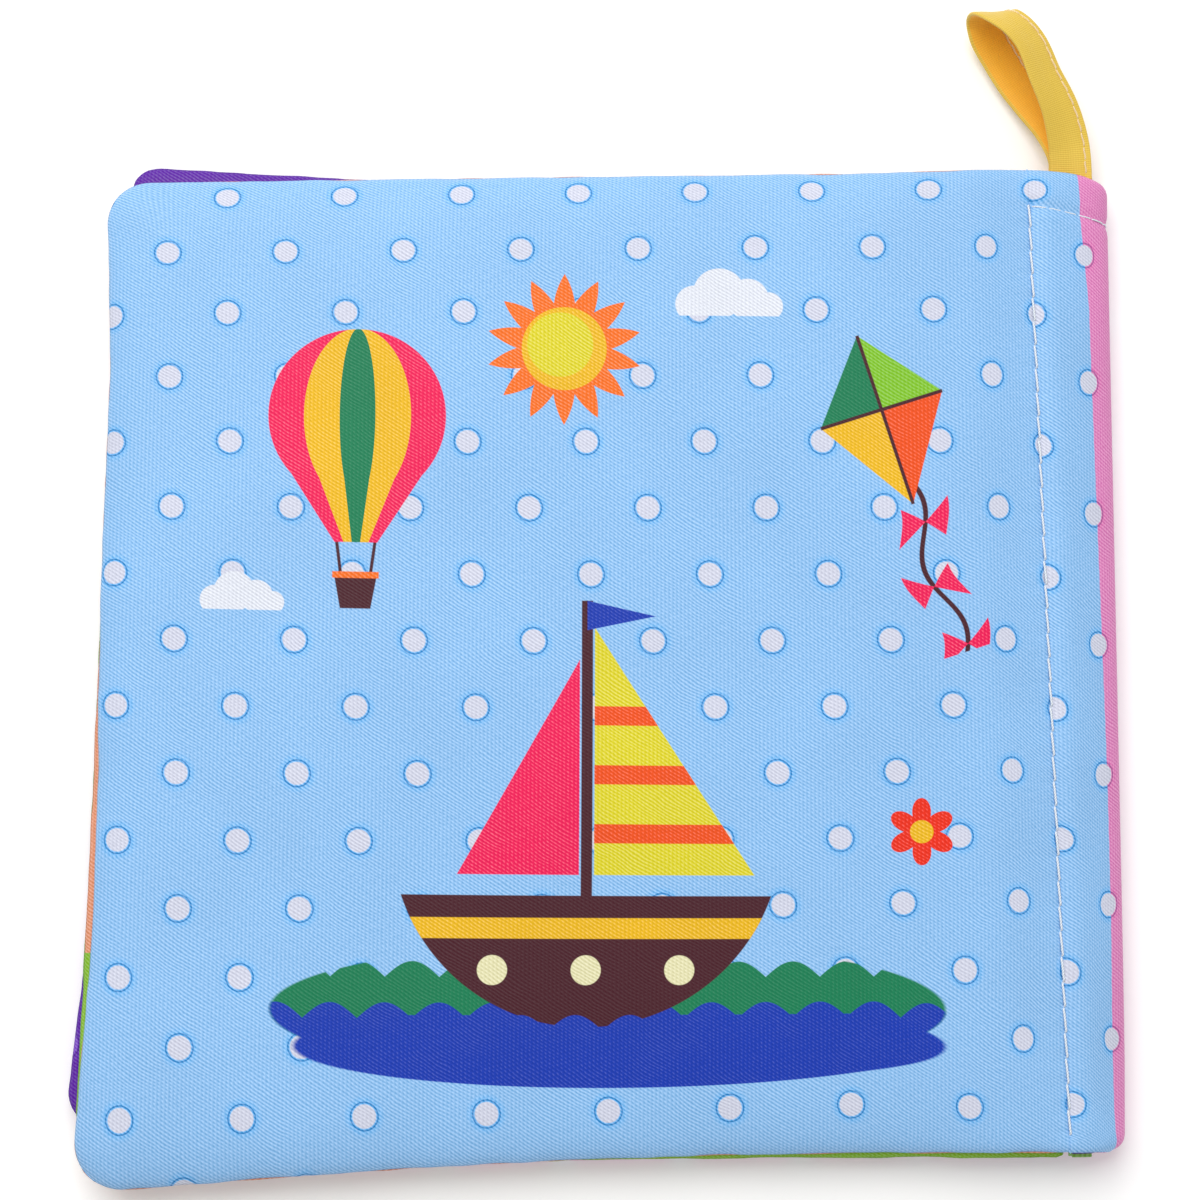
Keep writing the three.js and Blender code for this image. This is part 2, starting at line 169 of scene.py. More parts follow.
# Uneven waves along a line: sines of seeded lengths, each as tall as it is long, about 1 high in all
def ripple(along, seed, longest, shortest, count=7):
    draw = np.random.default_rng(seed)
    lengths = seededLengths(draw, longest, shortest, count)
    phases = draw.uniform(0, 2 * math.pi, count)
    sines = np.sin(2 * math.pi * np.asarray(along)[..., None] / lengths + phases)
    return waveHeight * (sines * lengths / lengths.sum()).sum(-1)


# The same over a plane, each sine running its own way
def swell(x, y, seed, longest, shortest, count=10):
    draw = np.random.default_rng(seed)
    lengths = seededLengths(draw, longest, shortest, count)
    ways = draw.uniform(0, 2 * math.pi, count)
    phases = draw.uniform(0, 2 * math.pi, count)
    along = np.asarray(x)[..., None] * np.cos(ways) + np.asarray(y)[..., None] * np.sin(ways)
    return waveHeight * (np.sin(2 * math.pi * along / lengths + phases) * lengths / lengths.sum()).sum(-1)


# One mesh from grids of points in millimetres, each (points, uv, flipped)
def meshOf(name, grids):
    places, quads, coordinates, first = [], [], [], 0
    for points, uv, flipped in grids:
        rows, columns = points.shape[:2]
        index = np.arange(rows * columns).reshape(rows, columns)
        corners = [index[:-1, :-1], index[1:, :-1], index[1:, 1:], index[:-1, 1:]]
        faces = np.stack(corners[::-1] if flipped else corners, -1).reshape(-1, 4)
        places.append(points.reshape(-1, 3) * mm)
        coordinates.append(uv.reshape(-1, 2)[faces.ravel()])
        quads.append(faces + first)
        first += rows * columns
    places, quads, coordinates = (np.concatenate(part) for part in (places, quads, coordinates))
    mesh = bpy.data.meshes.new(name)
    mesh.vertices.add(len(places))
    mesh.vertices.foreach_set("co", places.astype(np.float32).ravel())
    mesh.loops.add(quads.size)
    mesh.loops.foreach_set("vertex_index", quads.astype(np.int32).ravel())
    mesh.polygons.add(len(quads))
    mesh.polygons.foreach_set("loop_start", np.arange(0, quads.size, 4, dtype=np.int32))
    mesh.update(calc_edges=True)
    mesh.uv_layers.new(name="clothMm").data.foreach_set("uv", coordinates.astype(np.float32).ravel())
    return mesh


# Closes a mesh where its points meet, and drops what that leaves flat
def weldMesh(mesh):
    loose = bmesh.new()
    loose.from_mesh(mesh)
    bmesh.ops.remove_doubles(loose, verts=loose.verts, dist=weldReach)
    bmesh.ops.dissolve_degenerate(loose, edges=loose.edges, dist=flatEdge)
    loose.to_mesh(mesh)
    loose.free()


# One smooth piece from its grids, given a wall where it is a sheet, riding on its body
def addPiece(name, grids, material, body=None, thickness=0, weld=False):
    mesh = meshOf(name, grids)
    if weld:
        weldMesh(mesh)
    mesh.polygons.foreach_set("use_smooth", np.ones(len(mesh.polygons), bool))
    mesh.materials.append(material)
    piece = bpy.data.objects.new(name, mesh)
    bpy.context.scene.collection.objects.link(piece)
    if thickness:
        wall = piece.modifiers.new("clothThickness", "SOLIDIFY")
        wall.thickness = thickness * mm
        wall.offset = -1
    if body:
        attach(piece, body)
    return piece


# A row of line distances: set ones near both ends and an even pitch between
def linesAcross(length, near, far, pitch):
    start, stop = near[-1], length - far[-1]
    even = np.linspace(start, stop, max(2, round((stop - start) / pitch)) + 1)
    return np.concatenate([near, even[1:-1], length - far[::-1]])


# A leaf's corner before it is rounded: where the line of its side and the line of its end cross, neared in
# four rounds that take x from the one and y from the other
def cornerAt(leaf, end, free, seamGap):
    level = book["spineHead" if end == "head" else "spineFoot"] * leaf[end]
    freeX = book["seamX"] - book["reach"] * leaf["reach"]
    y = level
    for _ in range(4):
        x = freeX + y * slope(leaf["lean"]) if free else seamXAt(y) - seamGap
        y = level - (book["seamX"] - x) * slope(leaf[end + "Fall"])
    return np.array([x, y])


# Presses the square cells at a leaf's corners into quarter discs. It gives the new distances a from the free
# edge and b from the foot, how far inside the outline each place is, and its way out.
def roundCorners(leaf, a, b, width, height, seamCorner):
    toEnd = np.minimum(b, height - b)
    inset = np.minimum(a, toEnd)
    outX = np.where(a <= toEnd, -1.0, 0.0)
    outY = np.where(outX < 0, 0.0, np.where(b < height - b, -1.0, 1.0))
    for atSeam, atHead in ((False, False), (False, True), (True, False), (True, True)):
        freeRadius = book["cornerRadius"] * leaf["headRadius" if atHead else "footRadius"]
        radius = seamCorner if atSeam else freeRadius
        p, q = width - a if atSeam else a, height - b if atHead else b
        inCell = (p < radius) & (q < radius)
        u, v = np.clip(1 - p / radius, 0, 1), np.clip(1 - q / radius, 0, 1)
        roundU, roundV = u * np.sqrt(1 - v * v / 2), v * np.sqrt(1 - u * u / 2)
        far = np.hypot(roundU, roundV)
        inset = np.where(inCell, radius * (1 - far), inset)
        outX = np.where(inCell, (1 if atSeam else -1) * roundU / np.maximum(far, 1e-6), outX)
        outY = np.where(inCell, (1 if atHead else -1) * roundV / np.maximum(far, 1e-6), outY)
        p, q = np.where(inCell, radius * (1 - roundU), p), np.where(inCell, radius * (1 - roundV), q)
        a, b = width - p if atSeam else p, height - q if atHead else q
    return a, b, np.maximum(inset, 0), outX, outY


# Where a leaf's grid of lines falls: a four-sided cut with straight sides drawn in a little between its
# rounded corners. Lines outside it fold back in as turnings.
def leafPlan(leaf, nearLines, seamLines, pitch, seamGap, seamCorner=book["pageSeamCorner"]):
    freeFoot, freeHead, seamFoot, seamHead = (cornerAt(leaf, end, free, seamGap)
                                              for free in (True, False) for end in ("foot", "head"))
    width = np.linalg.norm((seamFoot + seamHead - freeFoot - freeHead) / 2)
    height = np.linalg.norm((freeHead + seamHead - freeFoot - seamFoot) / 2)
    across = linesAcross(width, nearLines, seamLines, pitch[0])
    along = linesAcross(height, nearLines, nearLines, pitch[1])
    a, b = np.meshgrid(across, along, indexing="ij")
    turnedFree, turnedSeam = (a < 0) | (b < 0) | (b > height), a > width
    a = np.where(a > width, 2 * width - a, np.abs(a))
    b = np.where(b > height, 2 * height - b, np.abs(b))
    a, b, inset, outX, outY = roundCorners(leaf, a, b, width, height, seamCorner)
    s, t = a / width, b / height
    near, far = s[..., None], t[..., None]
    sides = (freeFoot, freeHead), (seamFoot, seamHead)
    free, seam = ((1 - far) * foot + far * head for foot, head in sides)
    place = (1 - near) * free + near * seam
    drawn, wander = leaf["drawnIn"], eased(leaf.get("freeWander", [0, 0]), t)
    x = place[..., 0] + (drawn["free"] * np.sin(math.pi * t) + wander) * (1 - s) ** 2
    y = place[..., 1] + np.sin(math.pi * s) * (drawn["foot"] * (1 - t) ** 2 - drawn["head"] * t ** 2)
    return {"x": x, "y": y, "inset": inset, "outX": outX, "outY": outY, "fromSeam": width - a, "fromFree": a,
            "fromFoot": b, "fromHead": height - b, "turnedFree": turnedFree, "turnedSeam": turnedSeam,
            "width": width, "height": height}


# How far a leaf sags on to the one below: most at its edges and on the upper leaves, not at all by the seam
def sagAt(leaf, inset, fromSeam):
    return leaf["sag"] * np.exp(-inset / book["sagReach"]) * risen(fromSeam, 0, book["sagFromSeam"])


# Rise of a stuffed pocket over its sewn edge: quick at first, then ever flatter up to the crown
def pillowShare(inset):
    reach, quick = book["pillowReach"], book["pillowStart"]
    held = np.clip(inset, 0, reach)
    return held * (reach + quick) / (reach * (held + quick))


# How much longer the cloth is than its plan between an inset and the crown, from the same rise
def clothSlack(inset, half):
    steps = np.concatenate([[0], np.geomspace(0.02, book["pillowReach"], 60)])
    rise = np.diff(half * pillowShare(steps))
    extra = np.hypot(np.diff(steps), rise) - np.diff(steps)
    left = np.concatenate([extra[::-1].cumsum()[::-1], [0]])
    return np.interp(inset, steps, left)


# Screen colour to linear light: the lowest values divided, the rest bent by a power
def linear(hexColour):
    parts = [int(hexColour[place:place + 2], 16) / 255 for place in (1, 3, 5)]
    bent = [part / 12.92 if part <= 0.04045 else ((part + 0.055) / 1.055) ** 2.4 for part in parts]
    return (*bent, 1)


# Adds one node with its settings, and links or sets its inputs, given by name or number
def addNode(tree, kind, inputs=(), output=0, **settings):
    made = tree.nodes.new(kind)
    for key, value in settings.items():
        setattr(made, key, value)
    given = inputs.items() if isinstance(inputs, dict) else enumerate(inputs)
    for key, value in given:
        if isinstance(value, bpy.types.NodeSocket):
            tree.links.new(value, made.inputs[key])
        elif value is not None:
            made.inputs[key].default_value = value
    return made.outputs[output] if made.outputs else None


# One step of arithmetic on numbers and sockets
def calc(tree, operation, *inputs, **settings):
    return addNode(tree, "ShaderNodeMath", inputs, operation=operation, **settings)


# The same on places, where output 1 is the number that a length, distance or product gives
def vector(tree, operation, *inputs, output=0):
    return addNode(tree, "ShaderNodeVectorMath", inputs, output, operation=operation)


# A value's range mapped to another, held at its ends: from low and high, to low and high
def ranged(tree, value, *ends):
    return addNode(tree, "ShaderNodeMapRange", (value, *ends))


# The first colour at a share of 0 and the second at 1
def mixed(tree, share, first, second):
    return addNode(tree, "ShaderNodeMix", {0: share, 6: first, 7: second}, output=2, data_type="RGBA")


# A place's two coordinates
def split(tree, place):
    across = addNode(tree, "ShaderNodeSeparateXYZ", (place,))
    return across, across.node.outputs[1]


# Soft random grain, so many lumps to a millimetre
def noise(tree, place, scale, detail):
    return addNode(tree, "ShaderNodeTexNoise", {"Vector": place, "Scale": scale, "Detail": detail})


# A sine that repeats after each pitch
def sineOf(tree, place, pitch):
    return calc(tree, "SINE", calc(tree, "MULTIPLY", place, 2 * math.pi / pitch))


inks = {
    "brown": "#4A1E28", "green": "#1C8056", "rose": "#F43A66", "royal": "#2441B4", "yellow": "#E2D850",
    "orange": "#FB7E42", "red": "#F03A28", "lime": "#8CC84A", "gold": "#F0BE38", "ember": "#F25A2C",
    "cream": "#EAE6BC", "white": "#E6EAF4",
}


# The print is drawn on the cloth's own flat millimetres. A shape is a signed distance in them, below zero
# inside it. The last of the colours is the print so far.
def newPrint(tree, flat, groundColour):
    page = {"tree": tree, "flat": flat, "size": 1, "colours": []}
    addGround(page, groundColour)
    return page


# Starts a print on a plain ground
def addGround(page, groundColour):
    page["colours"].append(addNode(page["tree"], "ShaderNodeRGB"))
    page["colours"][-1].default_value = linear(groundColour)


# The same print in a motif's own units: moved to its middle, turned, and 1 long where the motif is its size
def placed(page, x, y, size, lean=0):
    flat = addNode(page["tree"], "ShaderNodeMapping", (page["flat"], (x, y, 0), (0, 0, math.radians(lean)),
                                                       (size, size, 1)), vector_type="TEXTURE")
    return {**page, "flat": flat, "size": size}


# Lays an ink where the shape is: full half a softness inside its edge, none half a softness outside
def paint(page, shape, ink, softness=0.14):
    tree, below = page["tree"], page["colours"][-1]
    inside = calc(tree, "MULTIPLY_ADD", shape, -page["size"] / softness, 0.5, use_clamp=True)
    colour = linear(inks.get(ink, ink)) if isinstance(ink, str) else ink
    page["colours"].append(mixed(tree, inside, below, colour))


# Shapes joined in turn by the lesser or the greater of their distances
def combined(page, operation, shapes):
    joined = shapes[0]
    for shape in shapes[1:]:
        joined = calc(page["tree"], operation, joined, shape)
    return joined


# Inside any of the shapes
def either(page, *shapes):
    return combined(page, "MINIMUM", shapes)


# Inside all of the shapes
def both(page, *shapes):
    return combined(page, "MAXIMUM", shapes)


# Distance to a circle: how far the place is from the centre, less the radius
def disc(page, x, y, radius):
    away = vector(page["tree"], "DISTANCE", page["flat"], (x, y, 0), output=1)
    return calc(page["tree"], "SUBTRACT", away, radius)


# Distance past a straight edge through two points, which has the shape on its left
def edge(page, start, end):
    length = math.dist(start, end)
    normal = ((end[1] - start[1]) / length, (start[0] - end[0]) / length, 0)
    level = start[0] * normal[0] + start[1] * normal[1]
    along = vector(page["tree"], "DOT_PRODUCT", page["flat"], normal, output=1)
    return calc(page["tree"], "SUBTRACT", along, level)


# A shape with straight edges and no hollow, its corners given anticlockwise
def outline(page, *corners):
    return both(page, *[edge(page, corners[k - 1], corners[k]) for k in range(len(corners))])


# A straight bar from one point to another
def bar(page, start, end, width):
    middle = ((start[0] + end[0]) / 2, (start[1] + end[1]) / 2, 0)
    turn = math.atan2(end[1] - start[1], end[0] - start[0])
    own = addNode(page["tree"], "ShaderNodeMapping", (page["flat"], middle, (0, 0, turn)),
                  vector_type="TEXTURE")
    folded = vector(page["tree"], "ABSOLUTE", own)
    over = vector(page["tree"], "SUBTRACT", folded, (math.dist(start, end) / 2, width / 2, 0))
    return both(page, *split(page["tree"], over))


# Round shape about the motif's middle, or about a place of its own, whose rim swings in and out as many
# times as it has petals or rays: by a sine's height, or straight up and down where it is pointed
def petals(page, radius, depth, count, pointed=False, at=(0, 0)):
    tree = page["tree"]
    away = vector(tree, "SUBTRACT", page["flat"], (*at, 0))
    across, up = split(tree, away)
    turn = calc(tree, "MULTIPLY", calc(tree, "ARCTAN2", up, across), 1 / (2 * math.pi))
    if pointed:
        swing = calc(tree, "PINGPONG", calc(tree, "MULTIPLY", turn, 2 * count), 1)
    else:
        swing = calc(tree, "ABSOLUTE", sineOf(tree, turn, 2 / count))
    rim = calc(tree, "MULTIPLY_ADD", swing, depth, radius)
    return calc(tree, "SUBTRACT", vector(tree, "LENGTH", away, output=1), rim)


# Bands of colour by a share from 0 to 1, with hard changes
def bands(page, share, colours):
    ramp = page["tree"].nodes.new("ShaderNodeValToRGB")
    page["tree"].links.new(share, ramp.inputs[0])
    ramp.color_ramp.interpolation = "CONSTANT"
    stops = ramp.color_ramp.elements
    while len(stops) < len(colours):
        stops.new(1)
    for index, colour in enumerate(colours):
        stops[index].position = index / len(colours)
        stops[index].color = linear(inks[colour])
    return ramp.outputs[0]


# Motifs are drawn in shares of their size, from their own middle. Rays, then a disc with a lit face
def sun(page, x, y, size):
    own = placed(page, x, y, size)
    paint(own, petals(own, 0.95, 0.6, 14, pointed=True), "orange")
    paint(own, disc(own, 0, 0, 0.85), "gold")
    paint(own, disc(own, -0.08, 0.08, 0.66), "yellow")


# Four round puffs cut off level at the foot
def cloud(page, x, y, size, ink="white"):
    own = placed(page, x, y, size)
    puffs = ((-0.9, 0, 0.5), (-0.25, 0.3, 0.68), (0.5, 0.15, 0.55), (1.05, -0.05, 0.38))
    heap = either(own, *[disc(own, *puff) for puff in puffs])
    paint(own, both(own, heap, edge(own, (-1, -0.32), (1, -0.32))), ink)


# Striped balloon: a circle that tapers to its basket, gored by how far across its own width a place is.
# The width is the root of 1 less the height squared, down to the waist, and narrows evenly below it.
def balloon(page, x, y, size, stripes):
    own, tree = placed(page, x, y, size), page["tree"]
    waist, taper, stringWidth, rimWidth = 0.72, 0.65, 0.55, 1.1
    skirt = outline(own, (-0.9, -0.42), (-0.24, -1.45), (0.24, -1.45), (0.9, -0.42))
    envelope = either(own, disc(own, 0, 0, 1), skirt)
    across, up = split(tree, own["flat"])
    above = calc(tree, "MAXIMUM", up, -waist)
    wide = calc(tree, "POWER", calc(tree, "SUBTRACT", 1.02, calc(tree, "MULTIPLY", above, above)), 0.5)
    below = calc(tree, "MINIMUM", calc(tree, "ADD", up, waist), 0)
    narrow = calc(tree, "MULTIPLY_ADD", below, taper, wide)
    share = calc(tree, "MULTIPLY_ADD", calc(tree, "DIVIDE", across, narrow), 0.5, 0.5)
    for side in (-1, 1):
        paint(own, bar(own, (side * 0.22, -1.4), (side * 0.16, -1.86), stringWidth / size), "brown")
    paint(own, envelope, bands(own, share, stripes))
    paint(own, outline(own, (-0.24, -1.82), (-0.17, -2.2), (0.17, -2.2), (0.24, -1.82)), "brown")
    paint(own, bar(own, (-0.26, -1.82), (0.26, -1.82), rimWidth / size), "orange")


# Kite: four triangles about its cross, and a tail that swings as a sine, with bows at even steps along it
def kite(page, x, y, size, lean=0):
    own, tree = placed(page, x, y, size, lean), page["tree"]
    tail = {"foot": -3.1, "pitch": 1.6, "swing": 0.13, "width": 0.9, "bowAt": -1.45, "bowPitch": 0.78}
    bowSpread, bowReach, strutWidth = 0.75, 0.3, 0.6
    top, bottom, left, right = (0, 0.95), (0, -1.2), (-0.78, 0), (0.78, 0)
    across, up = split(tree, own["flat"])
    swung = calc(tree, "MULTIPLY_ADD", sineOf(tree, up, tail["pitch"]), -tail["swing"], across)
    off = calc(tree, "ABSOLUTE", swung)
    string = calc(tree, "SUBTRACT", off, tail["width"] / 2 / size)
    beside = outline(own, (-1, tail["foot"]), (1, tail["foot"]), (1, 0), (-1, 0))
    paint(own, both(own, string, beside), "brown")
    ends = (tail["bowAt"] + tail["bowPitch"] / 2, tail["bowAt"] - tail["bowPitch"] / 2)
    fromBow = calc(tree, "SUBTRACT", calc(tree, "WRAP", up, *ends), tail["bowAt"])
    wing = calc(tree, "MULTIPLY_ADD", off, -bowSpread, calc(tree, "ABSOLUTE", fromBow))
    tip = calc(tree, "SUBTRACT", off, bowReach)
    below = outline(own, (-1, tail["foot"]), (1, tail["foot"]), (1, bottom[1]), (-1, bottom[1]))
    paint(own, both(own, wing, tip, below), "rose")
    for first, second, ink in ((top, left, "green"), (left, bottom, "gold"), (bottom, right, "ember"),
                               (right, top, "lime")):
        paint(own, outline(own, first, second, (0, 0)), ink)
    for start, end in ((top, bottom), (left, right)):
        paint(own, bar(own, start, end, strutWidth / size), "brown")


# Boat: a bowl of a hull under a mast, with a striped sail, a plain one and a pennant
def boat(page, x, y, size):
    own = placed(page, x, y, size)
    paint(own, bar(own, (0, 0), (0, 2.2), 0.075), "brown")
    sail = outline(own, (0.05, 2.02), (0.05, 0.34), (1.12, 0.34))
    stripes = either(own, *[bar(own, (0, rise), (1.2, rise), 0.13) for rise in (0.62, 1.02, 1.42)])
    paint(own, sail, "yellow")
    paint(own, both(own, stripes, sail), "ember")
    paint(own, outline(own, (-0.05, 1.8), (-0.86, 0.34), (-0.05, 0.34)), "rose")
    paint(own, outline(own, (0, 2.2), (0, 2.0), (0.46, 2.1)), "royal")
    hull = both(own, disc(own, 0, 0.62, 1.3), edge(own, (2, 0.2), (-2, 0.2)))
    paint(own, hull, "brown")
    paint(own, both(own, hull, bar(own, (-1.4, -0.02), (1.4, -0.02), 0.14)), "gold")
    for across in (-0.62, 0, 0.62):
        paint(own, disc(own, across, -0.3, 0.1), "cream")


# Rows of scallops in millimetres, each a bump of a sine's height over its level, inside an oval pool
def waves(page, x, y, wide, high, rows):
    tree = page["tree"]
    pitch, bump, firstPhase = 18, 2.6, 0.4
    oval = addNode(tree, "ShaderNodeMapping", (page["flat"], (x, y, 0), (0, 0, 0), (wide, high, 1)),
                   vector_type="TEXTURE")
    pool = calc(tree, "MULTIPLY_ADD", vector(tree, "LENGTH", oval, output=1), high, -high)
    across, up = split(tree, page["flat"])
    for row, ink in enumerate(rows):
        level = y + high * (0.72 - 0.62 * row)
        wave = calc(tree, "MULTIPLY_ADD", across, 2 * math.pi / pitch, row * math.pi / 2 + firstPhase)
        height = calc(tree, "ABSOLUTE", calc(tree, "SINE", wave))
        fall = calc(tree, "MULTIPLY_ADD", height, -bump, up)
        paint(page, both(page, pool, calc(tree, "SUBTRACT", fall, level - bump)), ink)


# Six petals round a heart, where asked on a stem of so many millimetres with one leaf between two discs
def flower(page, x, y, size, ink, stem=0):
    own = placed(page, x, y, size)
    if stem:
        foot, leafAt = -stem / size, -0.6 * stem / size
        paint(own, bar(own, (0, 0), (0.12, foot), 0.16), "green")
        sides = disc(own, 0.55, leafAt - 0.35, 0.75), disc(own, 0.75, leafAt + 0.55, 0.75)
        paint(own, both(own, *sides), "lime")
    paint(own, petals(own, 0.55, 0.5, 6), ink)
    paint(own, disc(own, 0, 0, 0.36), "gold")


# Half rings, coloured by how far a place is from their middle
def rainbow(page, x, y, size):
    own, tree = placed(page, x, y, size), page["tree"]
    inner, outer = 0.545, 0.995
    share = calc(tree, "MULTIPLY_ADD", vector(tree, "LENGTH", own["flat"], output=1), 2.2, -1.2)
    ring = calc(tree, "ABSOLUTE", disc(own, 0, 0, (inner + outer) / 2))
    thin = calc(tree, "SUBTRACT", ring, (outer - inner) / 2)
    arcs = bands(own, share, ("royal", "green", "yellow", "orange", "red"))
    paint(own, both(own, thin, edge(own, (-1, 0), (1, 0))), arcs)


# Wall, roof, door and a round window
def house(page, x, y, size):
    own = placed(page, x, y, size)
    paint(own, outline(own, (-1, 1.3), (-1, 0), (1, 0), (1, 1.3)), "cream")
    paint(own, outline(own, (0, 2.2), (-1.3, 1.2), (1.3, 1.2)), "ember")
    paint(own, outline(own, (-0.62, 0.8), (-0.62, 0), (-0.14, 0), (-0.14, 0.8)), "brown")
    paint(own, disc(own, 0.42, 0.72, 0.28), "royal")


# Trunk and scalloped crown with four fruits
def roundTree(page, x, y, size):
    own = placed(page, x, y, size)
    paint(own, bar(own, (0, -1.9), (0, 0), 0.34), "brown")
    paint(own, petals(own, 0.92, 0.16, 9), "green")
    for across, up in ((-0.4, 0.25), (0.35, 0.42), (0.1, -0.3), (0.55, -0.25)):
        paint(own, disc(own, across, up, 0.12), "red")


# A disc, a square, a triangle and a star with round points
def simpleShapes(page, x, y, size):
    own = placed(page, x, y, size)
    paint(own, disc(own, -1.5, 1, 0.9), "royal")
    paint(own, outline(own, (0.7, 1.8), (0.7, 0.2), (2.3, 0.2), (2.3, 1.8)), "yellow")
    paint(own, outline(own, (-1.5, -0.5), (-2.5, -2.2), (-0.5, -2.2)), "green")
    paint(own, petals(own, 0.62, 0.36, 5, at=(1.5, -1.4)), "orange")


# Dots at the crossings of two even rows of lines, each line of dots half a step on from the last
dots = {
    "at": (-75.7, 72.9),
    "step": (20.05, 0.28),
    "down": (0.84, -22.56),
    "radius": 1.95,
    "ring": 0.2,
    "ringSoftness": 0.2,
    "rim": 0.42,
    "halo": 1.5,
}
blueDots = ("#4A88C6", "#86C4FB", "#D7DAEA")
pinkDots = ("#9A6298", "#EE8CC4", "#D7DAEA")
roseDots = ("#E58AB4", "#F8C6DC", "#FBEFF4")
purpleDots = ("#52308F", "#7A50BC", "#8E68CC")
greenDots = ("#6FA24E", "#A4CF80", "#DDEDC4")
peachDots = ("#D98468", "#F0B49A", "#F9E4D8")


# The nearest crossing: a place in steps of the two rows, each wrapped to within half a step of a whole one
def dotsOver(page, colours, moved=0):
    tree = page["tree"]
    rimColour, haloColour, fillColour = colours
    step, down = np.array(dots["step"]), np.array(dots["down"])
    crossed = step[0] * down[1] - step[1] * down[0]
    alongStep = (down[1] / crossed, -down[0] / crossed, 0)
    alongDown = (-step[1] / crossed, step[0] / crossed, 0)
    nearest = []
    for share in (0, 0.5):
        origin = np.array(dots["at"]) + share * (step + down) + (moved, 0)
        away = vector(tree, "SUBTRACT", page["flat"], (*origin, 0))
        steps = [vector(tree, "DOT_PRODUCT", away, way, output=1) for way in (alongStep, alongDown)]
        cell = addNode(tree, "ShaderNodeCombineXYZ", (*steps, 0))
        near = vector(tree, "WRAP", cell, (0.5, 0.5, 1), (-0.5, -0.5, -1))
        back = vector(tree, "MULTIPLY", near, (np.hypot(*step), np.hypot(*down), 0))
        nearest.append(vector(tree, "LENGTH", back, output=1))
    dot = calc(tree, "SUBTRACT", either(page, *nearest), dots["radius"])
    reaches = (dots["halo"] / 2, dots["rim"], dots["ring"])
    halo, rim, ring = (calc(tree, "SUBTRACT", dot, reach) for reach in reaches)
    paint(page, halo, haloColour, dots["halo"])
    paint(page, rim, rimColour)
    paint(page, ring, haloColour, dots["ringSoftness"])
    paint(page, dot, fillColour)


# An empty material with its tree and the piece's own flat millimetres
def newMaterial(name):
    material = bpy.data.materials.new(name)
    material.use_nodes = True
    material.node_tree.nodes.clear()
    return material, material.node_tree, addNode(material.node_tree, "ShaderNodeUVMap", uv_map="clothMm")


# Gives a tree its surface, with bumps as deep as its own relief
def finishSurface(tree, relief, strength, depth, settings):
    lift = addNode(tree, "ShaderNodeBump", {"Height": relief, "Strength": strength, "Distance": depth * mm})
    surface = addNode(tree, "ShaderNodeBsdfPrincipled", {**settings, "Normal": lift})
    addNode(tree, "ShaderNodeOutputMaterial", (surface,))


weave = {
    "pitch": 0.53,
    "lean": -32,
    "waver": 1.4,
    "waverScale": 0.12,
    "waverSpan": (0.36, 0.62),
    "ribStrength": (0.55, 1.0),
    "yarnPitch": 0.66,
    "yarnLean": 0.9,
    "yarnStrength": (0.5, 0.26),
    "fibreScale": (2.6, 1.1, 1),
    "fibreHeight": 1.5,
    "heights": (-0.55, 2.05),
    "shade": (0.77, 1.095),
    "richness": (1.26, 0.9),
    "roughness": (0.6, 0.42),
    "mottleScale": 0.045,
    "mottle": (0.3, 0.7, 0.965, 1.02),
    "relief": 0.07,
}


# Printed polyester satin twill: lit ribs that fall to the right, broken into floats by upright yarns, with
# darker, richer lines between them. Where the ribs fade the yarns show as a fine grid. Close to, the eye
# sees single ribs; from afar, a soft sheen with an uneven grain.
def printedCloth(name, ground, drawPrint):
    material, tree, flat = newMaterial(name)
    page = newPrint(tree, flat, ground)
    drawPrint(page)
    turned = addNode(tree, "ShaderNodeMapping", (flat, (0, 0, 0), (0, 0, math.radians(-weave["lean"]))))
    waver = noise(tree, flat, weave["waverScale"], 3.0)
    bent = calc(tree, "MULTIPLY_ADD", waver, weave["waver"], split(tree, turned)[1])
    rib = sineOf(tree, bent, weave["pitch"])
    yarnTurn = calc(tree, "MULTIPLY", split(tree, flat)[0], 2 * math.pi / weave["yarnPitch"])
    yarn = calc(tree, "SINE", calc(tree, "MULTIPLY_ADD", rib, weave["yarnLean"], yarnTurn))
    ribPart = calc(tree, "MULTIPLY", rib, ranged(tree, waver, *weave["waverSpan"], *weave["ribStrength"]))
    yarnShare = ranged(tree, waver, *weave["waverSpan"], *weave["yarnStrength"])
    woven = calc(tree, "MULTIPLY_ADD", yarn, yarnShare, ribPart)
    fibrePlace = addNode(tree, "ShaderNodeMapping", (flat, (0, 0, 0), (0, 0, 0), weave["fibreScale"]))
    fibre = noise(tree, fibrePlace, 1.0, 3.0)
    depth = ranged(tree, calc(tree, "MULTIPLY_ADD", fibre, weave["fibreHeight"], woven), *weave["heights"])
    mottle = ranged(tree, noise(tree, flat, weave["mottleScale"], 2.0), *weave["mottle"])
    shade, richness, roughness = (ranged(tree, depth, 0, 1, *weave[key])
                                  for key in ("shade", "richness", "roughness"))
    tinted = addNode(tree, "ShaderNodeHueSaturation", {
        "Value": calc(tree, "MULTIPLY", shade, mottle), "Saturation": richness, "Color": page["colours"][-1]})
    finishSurface(tree, depth, 0.5, weave["relief"], {
        "Base Color": tinted, "Roughness": roughness, "Specular IOR Level": 0.28, "Sheen Weight": 0.02,
        "Sheen Roughness": 0.5, "IOR": 1.48})
    return material


